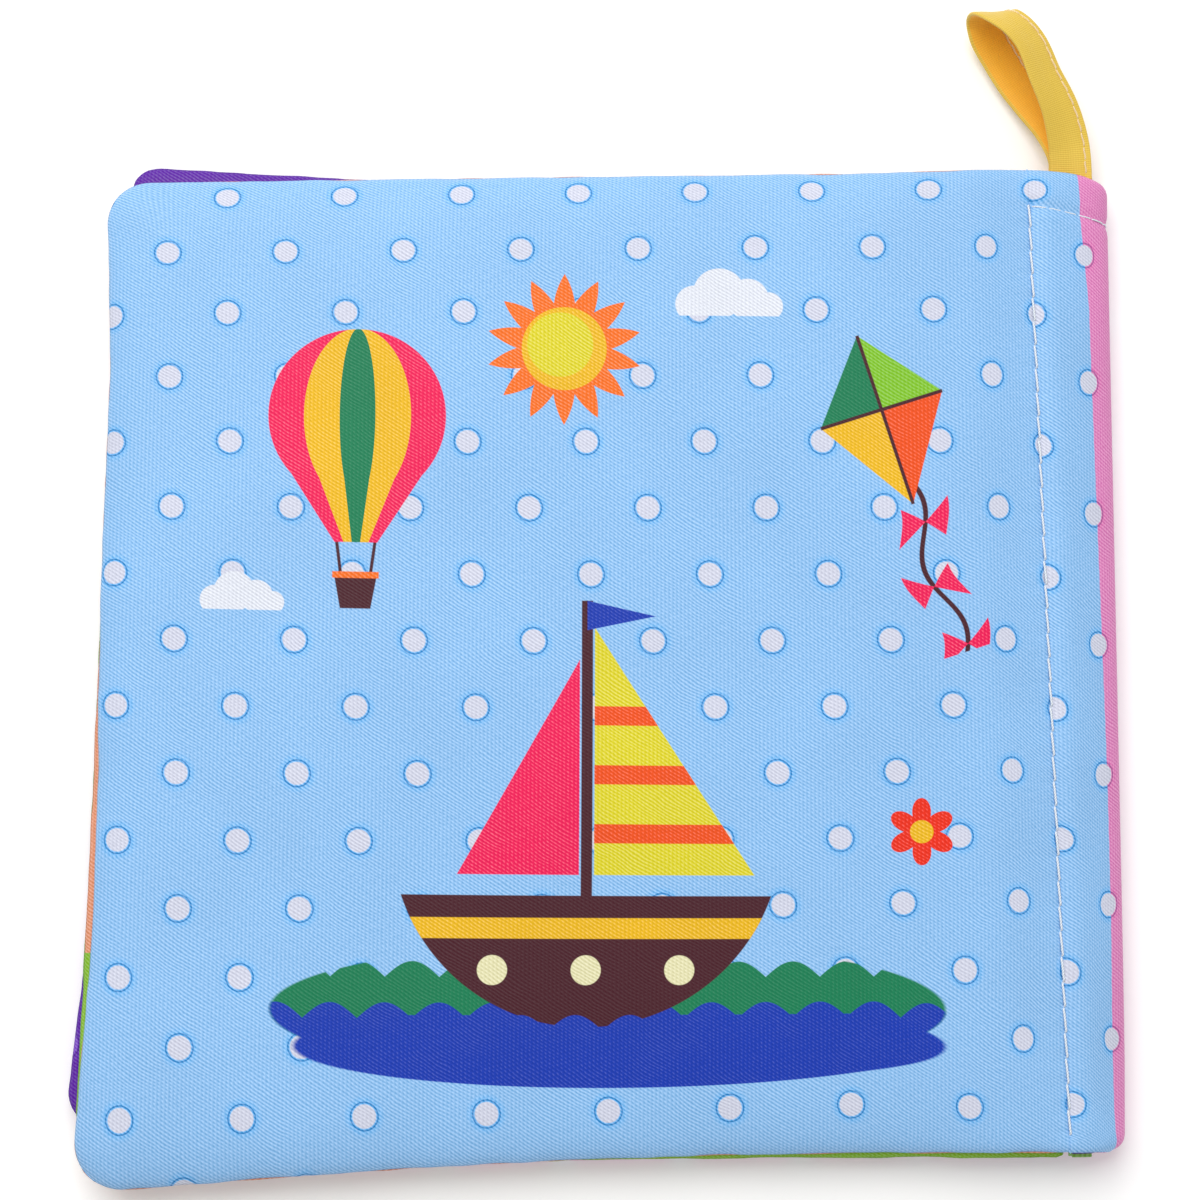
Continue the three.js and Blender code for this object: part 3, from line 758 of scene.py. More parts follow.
# Anything plainer: a base colour broken by noise on the piece's own millimetres, duller where it is high
def plainMaterial(name, light, dark, scale, roughness, relief, **extra):
    material, tree, flat = newMaterial(name)
    fine = noise(tree, flat, scale, 5.0)
    colour = mixed(tree, ranged(tree, fine, 0.32, 0.68), linear(dark), linear(light))
    rough = ranged(tree, fine, 0.2, 0.8, roughness + 0.08, roughness - 0.08)
    finishSurface(tree, fine, 0.5, relief, {"Base Color": colour, "Roughness": rough, **extra})
    return material


# Spun polyester thread: plies that wind round it, drawn as slanted lines on the tube's own round and length.
# They give each stitch its twisted light and dark.
def threadMaterial(name, light, dark, plyPitch=0.45):
    material, tree, flat = newMaterial(name)
    around, along = split(tree, flat)
    slanted = calc(tree, "MULTIPLY_ADD", around, 0.9, along)
    ply = calc(tree, "MULTIPLY_ADD", sineOf(tree, slanted, plyPitch), 0.5, 0.5)
    height = calc(tree, "MULTIPLY_ADD", noise(tree, flat, 9.0, 3.0), 0.4, ply)
    colour = mixed(tree, ranged(tree, height, 0.1, 1.0), linear(dark), linear(light))
    finishSurface(tree, height, 0.6, 0.05, {"Base Color": colour, "Roughness": 0.5, "Sheen Weight": 0.2})
    return material


tapeWeave = {
    "cordPitch": 0.36,
    "pickPitch": 0.44,
    "pickHeight": 0.35,
    "outer": ("#CDA52C", "#EECD54"),
    # The inner colours are painted shade: the yellow drawn deeper and more orange where the face looks into
    # the loop
    "inner": ("#E6A01C", "#FFC63A"),
    "shadedFaceAt": 12,
    "shadedFaceReach": 3.5,
}


# Woven tape: fine cords across it, a second finer set along it, with painted shade that turns the face inside
# its own loop a deeper orange
def tapeMaterial(name):
    material, tree, flat = newMaterial(name)
    along, around = split(tree, flat)
    cord, pick = sineOf(tree, along, tapeWeave["cordPitch"]), sineOf(tree, around, tapeWeave["pickPitch"])
    woven = calc(tree, "MULTIPLY_ADD", pick, tapeWeave["pickHeight"], cord)
    height = calc(tree, "MULTIPLY_ADD", noise(tree, flat, 2.2, 3.0), 0.8, woven)
    share = ranged(tree, height, -2.2, 2.2)
    outer, inner = (mixed(tree, share, *map(linear, tapeWeave[side])) for side in ("outer", "inner"))
    # Painted shade: the band of the tape's round that faces into the loop takes the deeper inner colours
    within = calc(tree, "COMPARE", around, tapeWeave["shadedFaceAt"], tapeWeave["shadedFaceReach"])
    finishSurface(tree, height, 0.35, 0.05, {
        "Base Color": mixed(tree, within, outer, inner), "Roughness": 0.52, "Sheen Weight": 0.15,
        "Specular IOR Level": 0.4})
    return material


# The cloths' prints, each motif laid over the ones before it. First the back cover's generic scene
def coverPrint(page):
    dotsOver(page, blueDots)
    cloud(page, 20, 64, 6.5)
    cloud(page, -62, 12, 5)
    sun(page, -8, 56, 8.5)
    balloon(page, -43, 44, 15, ("rose", "gold", "green", "gold", "rose"))
    kite(page, 46, 46, 14, lean=18)
    waves(page, 0, -56, 56, 11, ("green", "royal"))
    boat(page, -4, -42, 25)
    waves(page, 2, -62, 54, 7, ("royal",))
    flower(page, 52, -26, 5.5, "red")


# Blue and pink prints side by side, parted by the straight edges between the fold's measured places
def spinePrint(page):
    dotsOver(page, blueDots)
    blueOnly = page["colours"][-1]
    addGround(page, clothColours["pink"])
    dotsOver(page, pinkDots)
    pink = page["colours"][-1]
    page["colours"].append(blueOnly)
    for above, below in zip(spinePrintEdge, spinePrintEdge[1:]):
        paint(page, edge(page, above, below), pink)


# Front cover: a rainbow above waves
def frontCoverPrint(page):
    middle = 5
    dotsOver(page, pinkDots, frontShift)
    rainbow(page, middle, 10, 46)
    for side in (-1, 1):
        cloud(page, middle + side * 36, 8, 9)
    sun(page, middle + 34, 58, 8)
    flower(page, middle - 30, -22, 9, "rose", stem=24)
    flower(page, middle, -16, 10, "royal", stem=30)
    flower(page, middle + 30, -22, 9, "orange", stem=24)
    waves(page, middle, -54, 52, 8, ("green", "lime"))


# Plain shapes on rose dots
def rosePrint(page):
    dotsOver(page, roseDots)
    simpleShapes(page, -6, 6, 19)


# Flowers on long stems over green waves
def purpleLowerPrint(page):
    dotsOver(page, purpleDots)
    for x, y, ink in ((-28, 30, "rose"), (12, 38, "gold"), (44, 22, "orange"), (4, 2, "lime")):
        flower(page, x, y, 11, ink, stem=36)
    waves(page, 5, -48, 56, 10, ("green", "lime"))


# Two kites and cream clouds
def purpleUpperPrint(page):
    dotsOver(page, purpleDots)
    kite(page, -34, 44, 17, lean=-14)
    kite(page, 28, 34, 17, lean=16)
    for x, y, size in ((-2, 62, 7), (46, -34, 8), (-48, -46, 8)):
        cloud(page, x, y, size, "cream")


# Round trees under a small sun
def greenPrint(page):
    dotsOver(page, greenDots)
    roundTree(page, -28, 22, 22)
    roundTree(page, 34, 16, 18)
    flower(page, 2, -38, 8, "red", stem=16)
    flower(page, 54, -44, 7, "yellow", stem=14)
    sun(page, 6, 62, 8)


# The top page's generic scene over a straight green meadow
def peachUpperPrint(page):
    paint(page, edge(page, (80, -48.5), (-90, -47.5)), "#8FBF4E")
    sun(page, -40, 52, 10)
    cloud(page, 20, 56, 8)
    house(page, -18, -46, 22)
    roundTree(page, 38, -12, 18)
    flower(page, 60, -44, 6, "rose", stem=12)
    flower(page, -62, -46, 6, "red", stem=12)


# A boat on blue and green waves
def peachLowerPrint(page):
    dotsOver(page, peachDots)
    boat(page, 6, -20, 24)
    waves(page, 6, -38, 54, 10, ("green", "royal"))
    cloud(page, -34, 56, 8)
    sun(page, 42, 54, 9)


# Length along a line of points, from 0 at its first
def runAlong(points):
    return np.concatenate([[0], np.linalg.norm(np.diff(points, axis=0), axis=1).cumsum()])


# Thread path to tube: a round swept along it, its seam welded and both ends closed
def tube(path, radius, sides=10, up=(0, 0, 1), closed=False):
    if closed:
        path = np.concatenate([path, path[:1]])
        ways = np.roll(path[:-1], -1, 0) - np.roll(path[:-1], 1, 0)
        ways = np.concatenate([ways, ways[:1]])
    else:
        ways = np.gradient(path, axis=0)
    ways = ways / np.linalg.norm(ways, axis=1, keepdims=True)
    sideways = np.cross(ways, up)
    sideways /= np.maximum(np.linalg.norm(sideways, axis=1, keepdims=True), 1e-9)
    upright = np.cross(sideways, ways)
    turn = np.linspace(0, 2 * math.pi, sides + 1)
    spokes = np.cos(turn)[None, :, None] * sideways[:, None] + np.sin(turn)[None, :, None] * upright[:, None]
    points = path[:, None] + radius * spokes
    points[:, -1] = points[:, 0]
    along = runAlong(path)
    if not closed:
        points = np.concatenate([np.broadcast_to(path[:1, None], (1, sides + 1, 3)), points,
                                 np.broadcast_to(path[-1:, None], (1, sides + 1, 3))])
        along = np.concatenate([along[:1], along, along[-1:]])
    return points, np.stack(np.broadcast_arrays((turn * radius)[None, :], along[:, None]), -1), False


# 1 where the stitches hold the seam, and 0 beyond its two ends
def inSeam(y):
    over, run = 1.2, 1.8
    return smooth((book["seamHead"] + over - y) / run) * smooth((y - book["seamFoot"] + over) / run)


# 1 at a needle hole and 0 half way between two, as a raised cosine
def nearHole(y):
    return 0.5 + 0.5 * np.cos(2 * math.pi * (y - book["seamFoot"]) / book["stitchPitch"])


# How the blue print was pulled as it was sewn: its drift across and up, each a sum of powers of the place in
# eighties of millimetres and of a pull at the head. It fades out round the fold.
printDrift = {
    "powers": [(0, 0), (1, 0), (0, 1), (2, 0), (1, 1), (0, 2), (2, 1), (1, 2), (0, 3), (2, 2), (0, 4)],
    "across": [0.92, 0.53, 0.16, -0.42, 0.4, -0.42, 0.08, 0, 0.15, 0.17, 0.23, 0.31],
    "up": [-1.52, -1.05, 0.15, 0.56, -0.68, 2.27, -0.38, 1.51, 0.15, -0.48, -1.18, -2.69],
    "span": 80,
    "acrossHeld": (-90, 84),
    "upHeld": (-90, 90),
    "headAt": 88.2,
    "headReach": 10,
    "fadeAt": 85,
    "fadeRun": 17,
    "atSeam": 1.6,
    "seamReach": 7,
    "swallowed": 1.15,
    "overFold": (1.7, -0.0185),
    "overFoldFrom": 2,
    "foldDrop": 1.05,
    "dropFrom": (-8, 14),
    "dropHead": (-82, 8),
    "dropFoot": (-80, 30),
    "foldRun": 8,
    "footCorner": (0.45, 1.2),
    "footFrom": (38, 28),
    "footAcross": (40, 25),
    "corner": (-83.5, 85),
    "cornerPull": (-2.8, 1.8),
    "cornerReach": 7,
}


# A printed place less its drift. Past the seam, cloth taken up in it and round the fold adds its own.
def drifted(u, v, pastSeam=0):
    look = printDrift
    x, y = (np.clip(u, *look["acrossHeld"]) / look["span"], np.clip(v, *look["upHeld"]) / look["span"])
    pull = np.exp(-np.maximum(look["headAt"] - v, 0) / look["headReach"])
    terms = np.stack([x ** i * y ** j for i, j in look["powers"]] + [pull], -1)
    kept = 1 - risen(u, look["fadeAt"], look["fadeRun"])
    fromSeam = u - seamXAt(v)
    swallowed = inSeam(v) + (1 - inSeam(v)) * risen(fromSeam, 0, look["foldRun"])
    overFold = look["overFold"][0] + look["overFold"][1] * v
    overFold = overFold * risen(fromSeam, look["overFoldFrom"], look["foldRun"])
    atFoot = risen(-v, *look["footFrom"]) * risen(u, *look["footAcross"])
    takenUp = look["atSeam"] * np.exp(-(fromSeam / look["seamReach"]) ** 2)
    takenUp = takenUp + pastSeam * (look["swallowed"] * swallowed + overFold) + look["footCorner"][0] * atFoot
    dropped = look["foldDrop"] * risen(fromSeam, *look["dropFrom"]) * risen(-v, *look["dropHead"])
    dropped = dropped * risen(v, *look["dropFoot"]) + look["footCorner"][1] * atFoot
    away = np.hypot(u - look["corner"][0], v - look["corner"][1])
    atCorner = np.exp(-(away / look["cornerReach"]) ** 2)
    across = kept * (terms @ look["across"] - takenUp) + atCorner * look["cornerPull"][0]
    up = kept * (terms @ look["up"] - dropped) + atCorner * look["cornerPull"][1]
    return u - across, v - up


# Leaves: each cloth rises over its sewn edge, with small puckers along the stitching, and turns in under it
leafLook = {
    "pitch": 1.15,
    "coverPitch": 0.8,
    "edgeLines": [-2.4, -1.2, -0.45, -0.12, 0, 0.06, 0.16, 0.32, 0.55, 0.9, 1.4, 2.1, 3.0],
    "pageSeamLines": [-0.5, -0.2, 0, 0.06, 0.16, 0.35, 0.7, 1.2, 2.0],
    "coverSeamLines": [-1.0, -0.5, -0.2, -0.03, 0, 0.03, 0.1, 0.25, 0.5, 0.9, 1.5],
    "turning": 0.07,
    "pageSeamGap": 0.6,
    "coverSeamGap": 0,
    "lipDrop": 0.25,
    "lipReach": 0.32,
    "valley": 0.3,
    "valleyReach": 2,
    "stitchPull": 0.16,
    "pucker": 0.16,
    "puckerDraw": 0.9,
    "puckerReach": 3.4,
    "puckerWaves": (26, 24, 24),
    "puckerShortest": 5,
    "undulationWaves": (75, 22),
    "undulation": 0.12,
    "undulationFrom": 12,
    "pageEndRun": 0.35,
    "pageSeamDip": 0.14,
    "pageDipReach": 2.5,
    "turnedFall": 0.6,
    "clothThickness": 0.2,
}


# Puckers along the three free edges: waves whose height falls off in powers inward
def gatherAt(plan, seed):
    gather = 0
    edges = ((plan["y"], "fromFree"), (plan["x"], "fromHead"), (plan["x"], "fromFoot"))
    for number, ((along, away), longest) in enumerate(zip(edges, leafLook["puckerWaves"])):
        wave = ripple(along, seed + number, longest, leafLook["puckerShortest"])
        gather = gather + wave * np.exp(-plan[away] / leafLook["puckerReach"])
    return gather


# How deep a cover's outer cloth lies in the stitched valley of the seam. Past the edge the lip falls with it.
def valleyAt(plan, share):
    look, y, fromSeam, turned = leafLook, plan["y"], plan["fromSeam"], plan["turnedSeam"]
    pull = (look["valley"] + look["stitchPull"] * nearHole(y)) * np.exp(-fromSeam / look["valleyReach"])
    drop = look["lipDrop"]
    lip = np.where(turned, drop + fromSeam, drop * np.exp(-fromSeam / look["lipReach"]))
    sunk = (pull + lip) * share * inSeam(y)
    return np.where(turned, np.maximum(sunk, look["turnedFall"] * fromSeam * share), sunk)


# A leaf's cloth rises from its level by the pocket's share of half its thickness, swelled by puckers at the
# edge and eased down by slow waves. The covers' outer cloths also dip into the stitched valley of the seam.
def leafCloth(leaf, side, seed, atSpine):
    look = leafLook
    kind = "cover" if atSpine else "page"
    seamLines, gap, corner = look[kind + "SeamLines"], look[kind + "SeamGap"], book[kind + "SeamCorner"]
    pitch = (look["pitch"], look["coverPitch"] if atSpine else look["pitch"])
    plan = leafPlan(leaf, np.array(look["edgeLines"]), np.array(seamLines), pitch, gap, corner)
    half = leaf["thickness"] / 2
    x, y, inset, fromSeam = plan["x"], plan["y"], plan["inset"], plan["fromSeam"]
    gather, share = gatherAt(plan, seed), pillowShare(inset)
    crown = share * (1 + gather * look["pucker"] * (1 - share) * 2)
    slow = 0.5 + 0.5 * swell(x, y, seed + 3, *look["undulationWaves"])
    rolling = look["undulation"] / half * share * slow
    crown = crown - rolling * risen(fromSeam, 0, look["undulationFrom"])
    if not atSpine:
        end = np.clip(fromSeam / look["pageEndRun"], 0, 1)
        dip = look["pageSeamDip"] * np.exp(-fromSeam / look["pageDipReach"])
        crown = crown * np.sqrt(1 - (1 - end) ** 2) * (1 - dip)
    rise = np.where(plan["turnedFree"] | (plan["turnedSeam"] & (not atSpine)), 0, half * crown)
    z = leaf["middle"] + side * np.maximum(rise, look["turning"]) - sagAt(leaf, inset, fromSeam)
    z = pinched(x, y, z)
    if atSpine:
        z = z - side * valleyAt(plan, share)
        x = np.where(plan["turnedSeam"], seamXAt(y) - gap, x)
    draw = look["pucker"] * look["puckerDraw"] * gather * (1 - share)
    x, y = x + plan["outX"] * draw, y + plan["outY"] * draw
    slack = clothSlack(inset, half) + np.where(plan["turnedFree"], inset, 0)
    flat = side * (plan["x"] + plan["outX"] * slack), plan["y"] + plan["outY"] * slack
    uv = np.stack(drifted(*flat) if atSpine and side > 0 else flat, -1)
    return np.stack([x, y, z], -1), uv, side < 0


# The plan of what lies inside a leaf: the leaf's own, drawn in about its middle by so much across and along
def innerPlan(leaf, lines, pitch, across, along):
    plan = leafPlan(leaf, np.array(lines), np.array(lines), (pitch, pitch), leafLook["pageSeamGap"])
    middleX, middleY = plan["x"].mean(), plan["y"].mean()
    plan["x"] = middleX + (plan["x"] - middleX) * (1 - across / plan["width"])
    plan["y"] = middleY + (plan["y"] - middleY) * (1 - along / plan["height"])
    return plan, middleX, middleY


waddingLook = {
    "inset": 3.2,
    "lines": [0, 0.2, 0.7, 1.6, 3.0],
    "pitch": 2.6,
    "rimRadius": 1.2,
    "lift": 0.15,
    "above": 0.75,
    "below": 0.98,
    "fluff": 0.05,
    "fluffWaves": (12, 4),
    "lowerFluffShare": 0.4,
}


# Wadding swells like its leaf but stays clear of both cloths and of the film under it. Its rim is a quarter
# round, above and below.
def leafWadding(leaf, seed):
    look = waddingLook
    inset = look["inset"]
    plan, _, _ = innerPlan(leaf, look["lines"], look["pitch"], 2 * inset, 2 * inset)
    x, y = plan["x"], plan["y"]
    half = leaf["thickness"] / 2
    fluff = look["fluff"] * swell(x, y, seed, *look["fluffWaves"])
    share = pillowShare(plan["inset"] + inset)
    fromRim = np.minimum(plan["inset"], plan["fromSeam"]) / look["rimRadius"]
    rim = np.sqrt(1 - (1 - fromRim).clip(0, 1) ** 2)
    middle = leaf["middle"] + look["lift"] - sagAt(leaf, plan["inset"] + inset, plan["fromSeam"] + inset)
    top = middle + rim * ((half - look["above"]) * share + fluff)
    bottom = middle - rim * ((half - look["below"]) * share + fluff * look["lowerFluffShare"])
    return [(np.stack([x, y, pinched(x, y, z)], -1), np.stack([x, y], -1), z is bottom)
            for z in (top, bottom)]


filmLook = {
    "pitch": 1.9,
    "lines": [0, 0.5],
    "drawnIn": (18, 12),
    "shift": -3,
    "sagInset": (6, 12),
    "creases": 26,
    "creaseSpan": 80,
    "creaseReach": (3, 9),
    "creaseHeight": 0.05,
    "overCloth": 0.62,
    "thickness": 0.06,
}


# Crinkle film: a thin sheet crossed by sharp creases, each a fold along a seeded straight line, whose height
# falls off evenly in powers to both sides
def leafFilm(leaf, seed):
    look = filmLook
    plan, middleX, middleY = innerPlan(leaf, look["lines"], look["pitch"], *look["drawnIn"])
    draw = np.random.default_rng(seed)
    height = np.zeros_like(plan["x"])
    for _ in range(look["creases"]):
        way, place = draw.uniform(0, math.pi), draw.uniform(-look["creaseSpan"], look["creaseSpan"])
        off = (plan["x"] - middleX) * math.cos(way) + (plan["y"] - middleY) * math.sin(way) - place
        height += draw.choice([-1, 1]) * np.exp(-np.abs(off) / draw.uniform(*look["creaseReach"]))
    height = look["creaseHeight"] * height / np.abs(height).max()
    x, y = plan["x"] + look["shift"], plan["y"]
    sag = sagAt(leaf, plan["inset"] + look["sagInset"][0], plan["fromSeam"] + look["sagInset"][1])
    z = leaf["middle"] - leaf["thickness"] / 2 + look["overCloth"] + height - sag
    return np.stack([x, y, pinched(x, y, z)], -1), np.stack([x, y], -1), False


edgeThread = {"lines": [0, 0.8], "pitch": 0.62, "inset": 1.7, "stitch": 2.5, "dip": 0.035, "radius": 0.032}


# Lockstitch round the sewn edge: a thread along the outline that dips between its stitches as a cosine
def edgeStitches(leaf):
    look = edgeThread
    plan, _, _ = innerPlan(leaf, look["lines"], look["pitch"], 2 * look["inset"], 2 * look["inset"])
    flat = np.stack([plan["x"], plan["y"]], -1)
    rim = np.concatenate([flat[:-1, 0], flat[-1, :-1], flat[:0:-1, -1], flat[0, :0:-1]])
    along = runAlong(rim)
    rounds = round(along[-1] / look["stitch"])
    dip = look["dip"] * np.cos(2 * math.pi * rounds * along / along[-1])
    level = leaf["middle"] - sagAt(leaf, look["inset"], seamXAt(rim[:, 1]) - rim[:, 0])
    path = np.column_stack([rim, pinched(rim[:, 0], rim[:, 1], level) + dip])
    return tube(path, look["radius"], sides=6, closed=True)


# A cloth that bends round the spine as a U. It starts at the seam, rounds over at head and foot to meet
# its partner half way through the wadding, and turns in there.
spineLook = {
    "pitch": 0.7,
    "plainPitch": 1.6,
    "endLines": [-1.6, -0.6, -0.15, 0, 0.05, 0.15, 0.32, 0.6, 0.95, 1.4, 2.0, 2.8],
    "turns": 66,
    "endTurn": 87.6,
    "nearTurns": [90, 89.96, 89.7, 89],
    "endGap": 0.05,
    "shoulderReach": 10,
    "puff": 0.3,
    "puffAt": 3.2,
    "puffReach": 2.4,
    "puffFromEnd": 5,
    "lipDrop": 0.25,
    "lipReach": 0.3,
    "valley": 0.3,
    "stitchPull": 0.16,
    "valleyReach": 0.9,
    "tuck": [0.9, 0.45, 0.15, 0.03],
    "tuckEnd": 0.3,
    "tuckEndShare": 0.4,
    "barValley": 0.4,
    "barFromSeam": 4,
    "foldSag": 0.9,
    "sagReach": 9,
    "ease": 0.25,
    "easeFrom": 2,
    "easeRun": 7,
    "footDrawIn": 0.5,
    "footReach": 10,
}


# How far the head's edge drops towards the fold, from none at the seam
def shoulderAt(y, share):
    fromHead = np.maximum(book["spineHead"] - y, 0)
    return book["spineShoulder"] * share ** 2 * np.exp(-fromHead / spineLook["shoulderReach"])


# Rise beside the seam, as a bell about its own distance from it
def puffAt(off):
    return spineLook["puff"] * np.exp(-((off - spineLook["puffAt"]) / spineLook["puffReach"]) ** 2)


# Rows of a spine cloth from foot to head, as columns: place, insets from its own end and from the outer face,
# and which are turned in. Near an end the inset runs to half way between the cloth and its partner.
def spineRows(inset, partner, endInset, pitch, footReach):
    look = spineLook
    length = book["spineHead"] - book["spineFoot"] - 2 * endInset + footReach
    lines = np.array(look["endLines"])
    along = linesAcross(length, lines, lines, pitch)
    turnedIn = (along < 0) | (along > length)
    folded = np.where(along > length, 2 * length - along, np.abs(along))
    away = np.minimum(folded, length - folded)
    meeting, root = (inset + partner) / 2, pillowShare(away)
    own = meeting + (inset - meeting) * np.where(turnedIn, 0, root)
    own = own + np.sign(inset - meeting) * look["endGap"] * (1 - root * ~turnedIn)
    y = book["spineFoot"] + endInset - footReach + folded
    return y[:, None], away[:, None], own[:, None], turnedIn[:, None]


# How far the fold is drawn in at a height y: a quarter round at head and foot, and a little more by the foot
def foldDrawIn(y):
    corner = np.where(y > 0, book["spineCorner"], book["spineFootCorner"])
    left = np.clip(corner - np.minimum(book["spineHead"] - y, y - book["spineFoot"]), 0, corner)
    nearFoot = np.exp((book["spineFoot"] - y) / spineLook["footReach"])
    return corner - np.sqrt(corner ** 2 - left ** 2) + spineLook["footDrawIn"] * nearFoot


# The fold's section is a cosine's power across and a sine up. The outer cloth, with a lip, also rises beside
# the seam, dips in its valley and under the bar seam, and is tucked down into the seam.
def spineSurface(inset, partner, startGap, endInset=0.0, lip=True, footReach=0.0):
    look = spineLook
    pitch = look["pitch"] if lip else look["plainPitch"]
    y, away, own, turnedIn = spineRows(inset, partner, endInset, pitch, footReach)
    near = np.array(look["nearTurns"])
    even = np.linspace(look["endTurn"], -look["endTurn"], look["turns"])
    turn = np.radians(np.concatenate([near, even, -near[::-1]]))[None]
    start = seamXAt(y) + startGap
    share = np.maximum(np.cos(turn), 0) ** book["foldRoundness"]
    x = start + (foldXAt(y) - foldDrawIn(y) - start - own) * share
    z = spineMiddle + (spineHalf - own) * np.sin(turn)
    z = z - look["foldSag"] * np.maximum(np.cos(turn), 0) ** 2 * risen(away, 0, look["sagReach"])
    if lip:
        off = x - start
        barLine = look["barValley"] * np.exp(-(y - book["barHead"] + book["barFall"] * np.cos(turn)) ** 2)
        pull = (look["valley"] + look["stitchPull"] * nearHole(y)) * np.exp(-off / look["valleyReach"])
        sunk = (look["lipDrop"] * np.exp(-off / look["lipReach"]) + pull) * inSeam(y)
        z = z + np.sin(turn) * (puffAt(off) * risen(away, 0, look["puffFromEnd"]) - sunk - barLine)
        x = x - barLine * np.cos(turn) * risen(off, 0, look["barFromSeam"])
        tuck = np.array(look["tuck"]) * np.where(away < look["tuckEnd"], look["tuckEndShare"], 1)
        z = np.concatenate([z[:, :1] - tuck, z, z[:, -1:] + tuck[:, ::-1]], 1)
        x, share = (np.pad(part, ((0, 0), (4, 4)), "edge") for part in (x, share))
    y = np.broadcast_to(y, x.shape)
    uv = np.stack(spineFlat(x, y, z, away, turnedIn, lip), -1)
    return np.stack([x, y - shoulderAt(y, share), z], -1), uv, inset < partner


# Flat places of a spine cloth: its run from the seam, where the outer cloth was eased a little longer over
# the fold, and its height with the turned ends laid out
def spineFlat(x, y, z, away, turnedIn, lip):
    run = np.hypot(np.diff(x, axis=1), np.diff(z, axis=1)).cumsum(1)
    run = np.concatenate([np.zeros((len(x), 1)), run], 1)
    v = y + np.where(turnedIn, np.sign(y[:, :1]) * away, 0)
    if not lip:
        return seamXAt(y) + run, v
    atSeam = len(spineLook["tuck"])
    run = run - run[:, atSeam:atSeam + 1]
    left = run[:, -atSeam - 1:-atSeam] - run
    ease = (spineLook["easeFrom"], spineLook["easeRun"])
    easing = 1 + spineLook["ease"] * risen(run, *ease) * risen(left, *ease)
    steps = (np.diff(run, axis=1) * easing[:, 1:]).cumsum(1)
    run = np.concatenate([run[:, :1], run[:, :1] + steps], 1)
    return drifted(seamXAt(y) + run - run[:, atSeam:atSeam + 1], v, 1)


# Where on the flat cloth the plan lines x of the fold's upper face fall, at the row nearest to y
def flatAt(surface, x, y):
    points, uv, _ = surface
    row = np.abs(points[:, 0, 1] - y).argmin()
    upper = slice(4, 8 + spineLook["turns"] // 2)
    return float(np.interp(x, points[row, upper, 0], uv[row, upper, 0])), y


# Wadding folded with the spine: a closed pad between two insets, drawn to nothing at head and foot
def spinePad(low, high, endInset, startGap=0.9):
    outer, uv, _ = spineSurface(low, high, startGap, endInset, lip=False)
    inner, _, _ = spineSurface(high, low, startGap, endInset, lip=False)
    kept = slice(3, len(outer) - 3)
    outer, inner, uv = outer[kept], inner[kept], uv[kept]
    middle = (outer + inner) / 2
    ring, cap, ringUv = (np.concatenate([there, back[:, ::-1], there[:, :1]], 1)
                         for there, back in ((outer, inner), (middle, middle), (uv, uv)))
    ring = np.concatenate([cap[:1], ring, cap[-1:]])
    return ring, np.concatenate([ringUv[:1], ringUv, ringUv[-1:]]), True


# The spine's threads: the lockstitched seam above and below, and the bar seam round the fold
seamThread = {"count": 38, "steps": 22, "holeShare": 0.09, "bow": 0.05}
upperThread = {"level": spineTop - 0.2, "dive": 0.7, "sway": 0.09, "radius": 0.2}
bobbinThread = {"level": 0.36, "dive": 0.45, "sway": 0.08, "radius": 0.19}
barThread = {
    "count": 11,
    "radius": 0.13,
    "points": 260,
    "startGap": 0.05,
    "sagFrom": 6.6,
    "overValley": 0.04,
    "sink": 0.1,
    "topSink": 0.17,
    "topFrom": (0.62, 0.3),
    "dive": 0.55,
    "holeShare": 0.14,
}


# Lockstitch: each stitch lies on the cloth, leans a little across the seam as three sines that near a saw's
# teeth, and dives into its needle holes
def stitchPath(start, end, thread, up):
    count = seamThread["count"]
    share = np.linspace(0, count, count * seamThread["steps"] + 1)
    within = share % 1
    ends = np.minimum(within, 1 - within)
    place = np.outer(1 - share / count, start) + np.outer(share / count, end)
    way = (np.array(end) - start) / math.dist(start, end)
    saw = sum(np.sin(2 * math.pi * k * within) / k for k in (1, 2, 3))
    place = place + np.outer(thread["sway"] * saw, [way[1], -way[0]])
    bow = seamThread["bow"] * np.cos(2 * math.pi * within)
    depth = thread["dive"] * (1 - smooth(ends / seamThread["holeShare"])) + bow
    return np.column_stack([place, thread["level"] - up * depth])


# The bar seam follows the outer cloth's section along its valley, sunk into the cloth and deeper at its holes
def barPath():
    thread, look = barThread, spineLook
    turn = np.radians(np.linspace(89, -89, thread["points"]))
    y = book["barHead"] - book["barFall"] * np.cos(turn)
    share = np.cos(turn) ** book["foldRoundness"]
    off = (foldXAt(y) - seamXAt(y) - thread["startGap"]) * share
    x = seamXAt(y) + thread["startGap"] + off
    z = spineMiddle + (spineHalf + puffAt(off)) * np.sin(turn)
    z = z - look["foldSag"] * np.cos(turn) ** 2 * risen(thread["sagFrom"], 0, look["sagReach"])
    along = runAlong(np.column_stack([x, z]))
    within = (along / along[-1] * thread["count"]) % 1
    hole = 1 - smooth(np.minimum(within, 1 - within) / thread["holeShare"])
    sink = thread["sink"] + thread["topSink"] * risen(turn, *thread["topFrom"])
    depth = look["barValley"] - thread["overValley"] + sink + thread["dive"] * hole - thread["radius"]
    return np.column_stack([x - depth * np.cos(turn), y - shoulderAt(y, share), z - depth * np.sin(turn)])


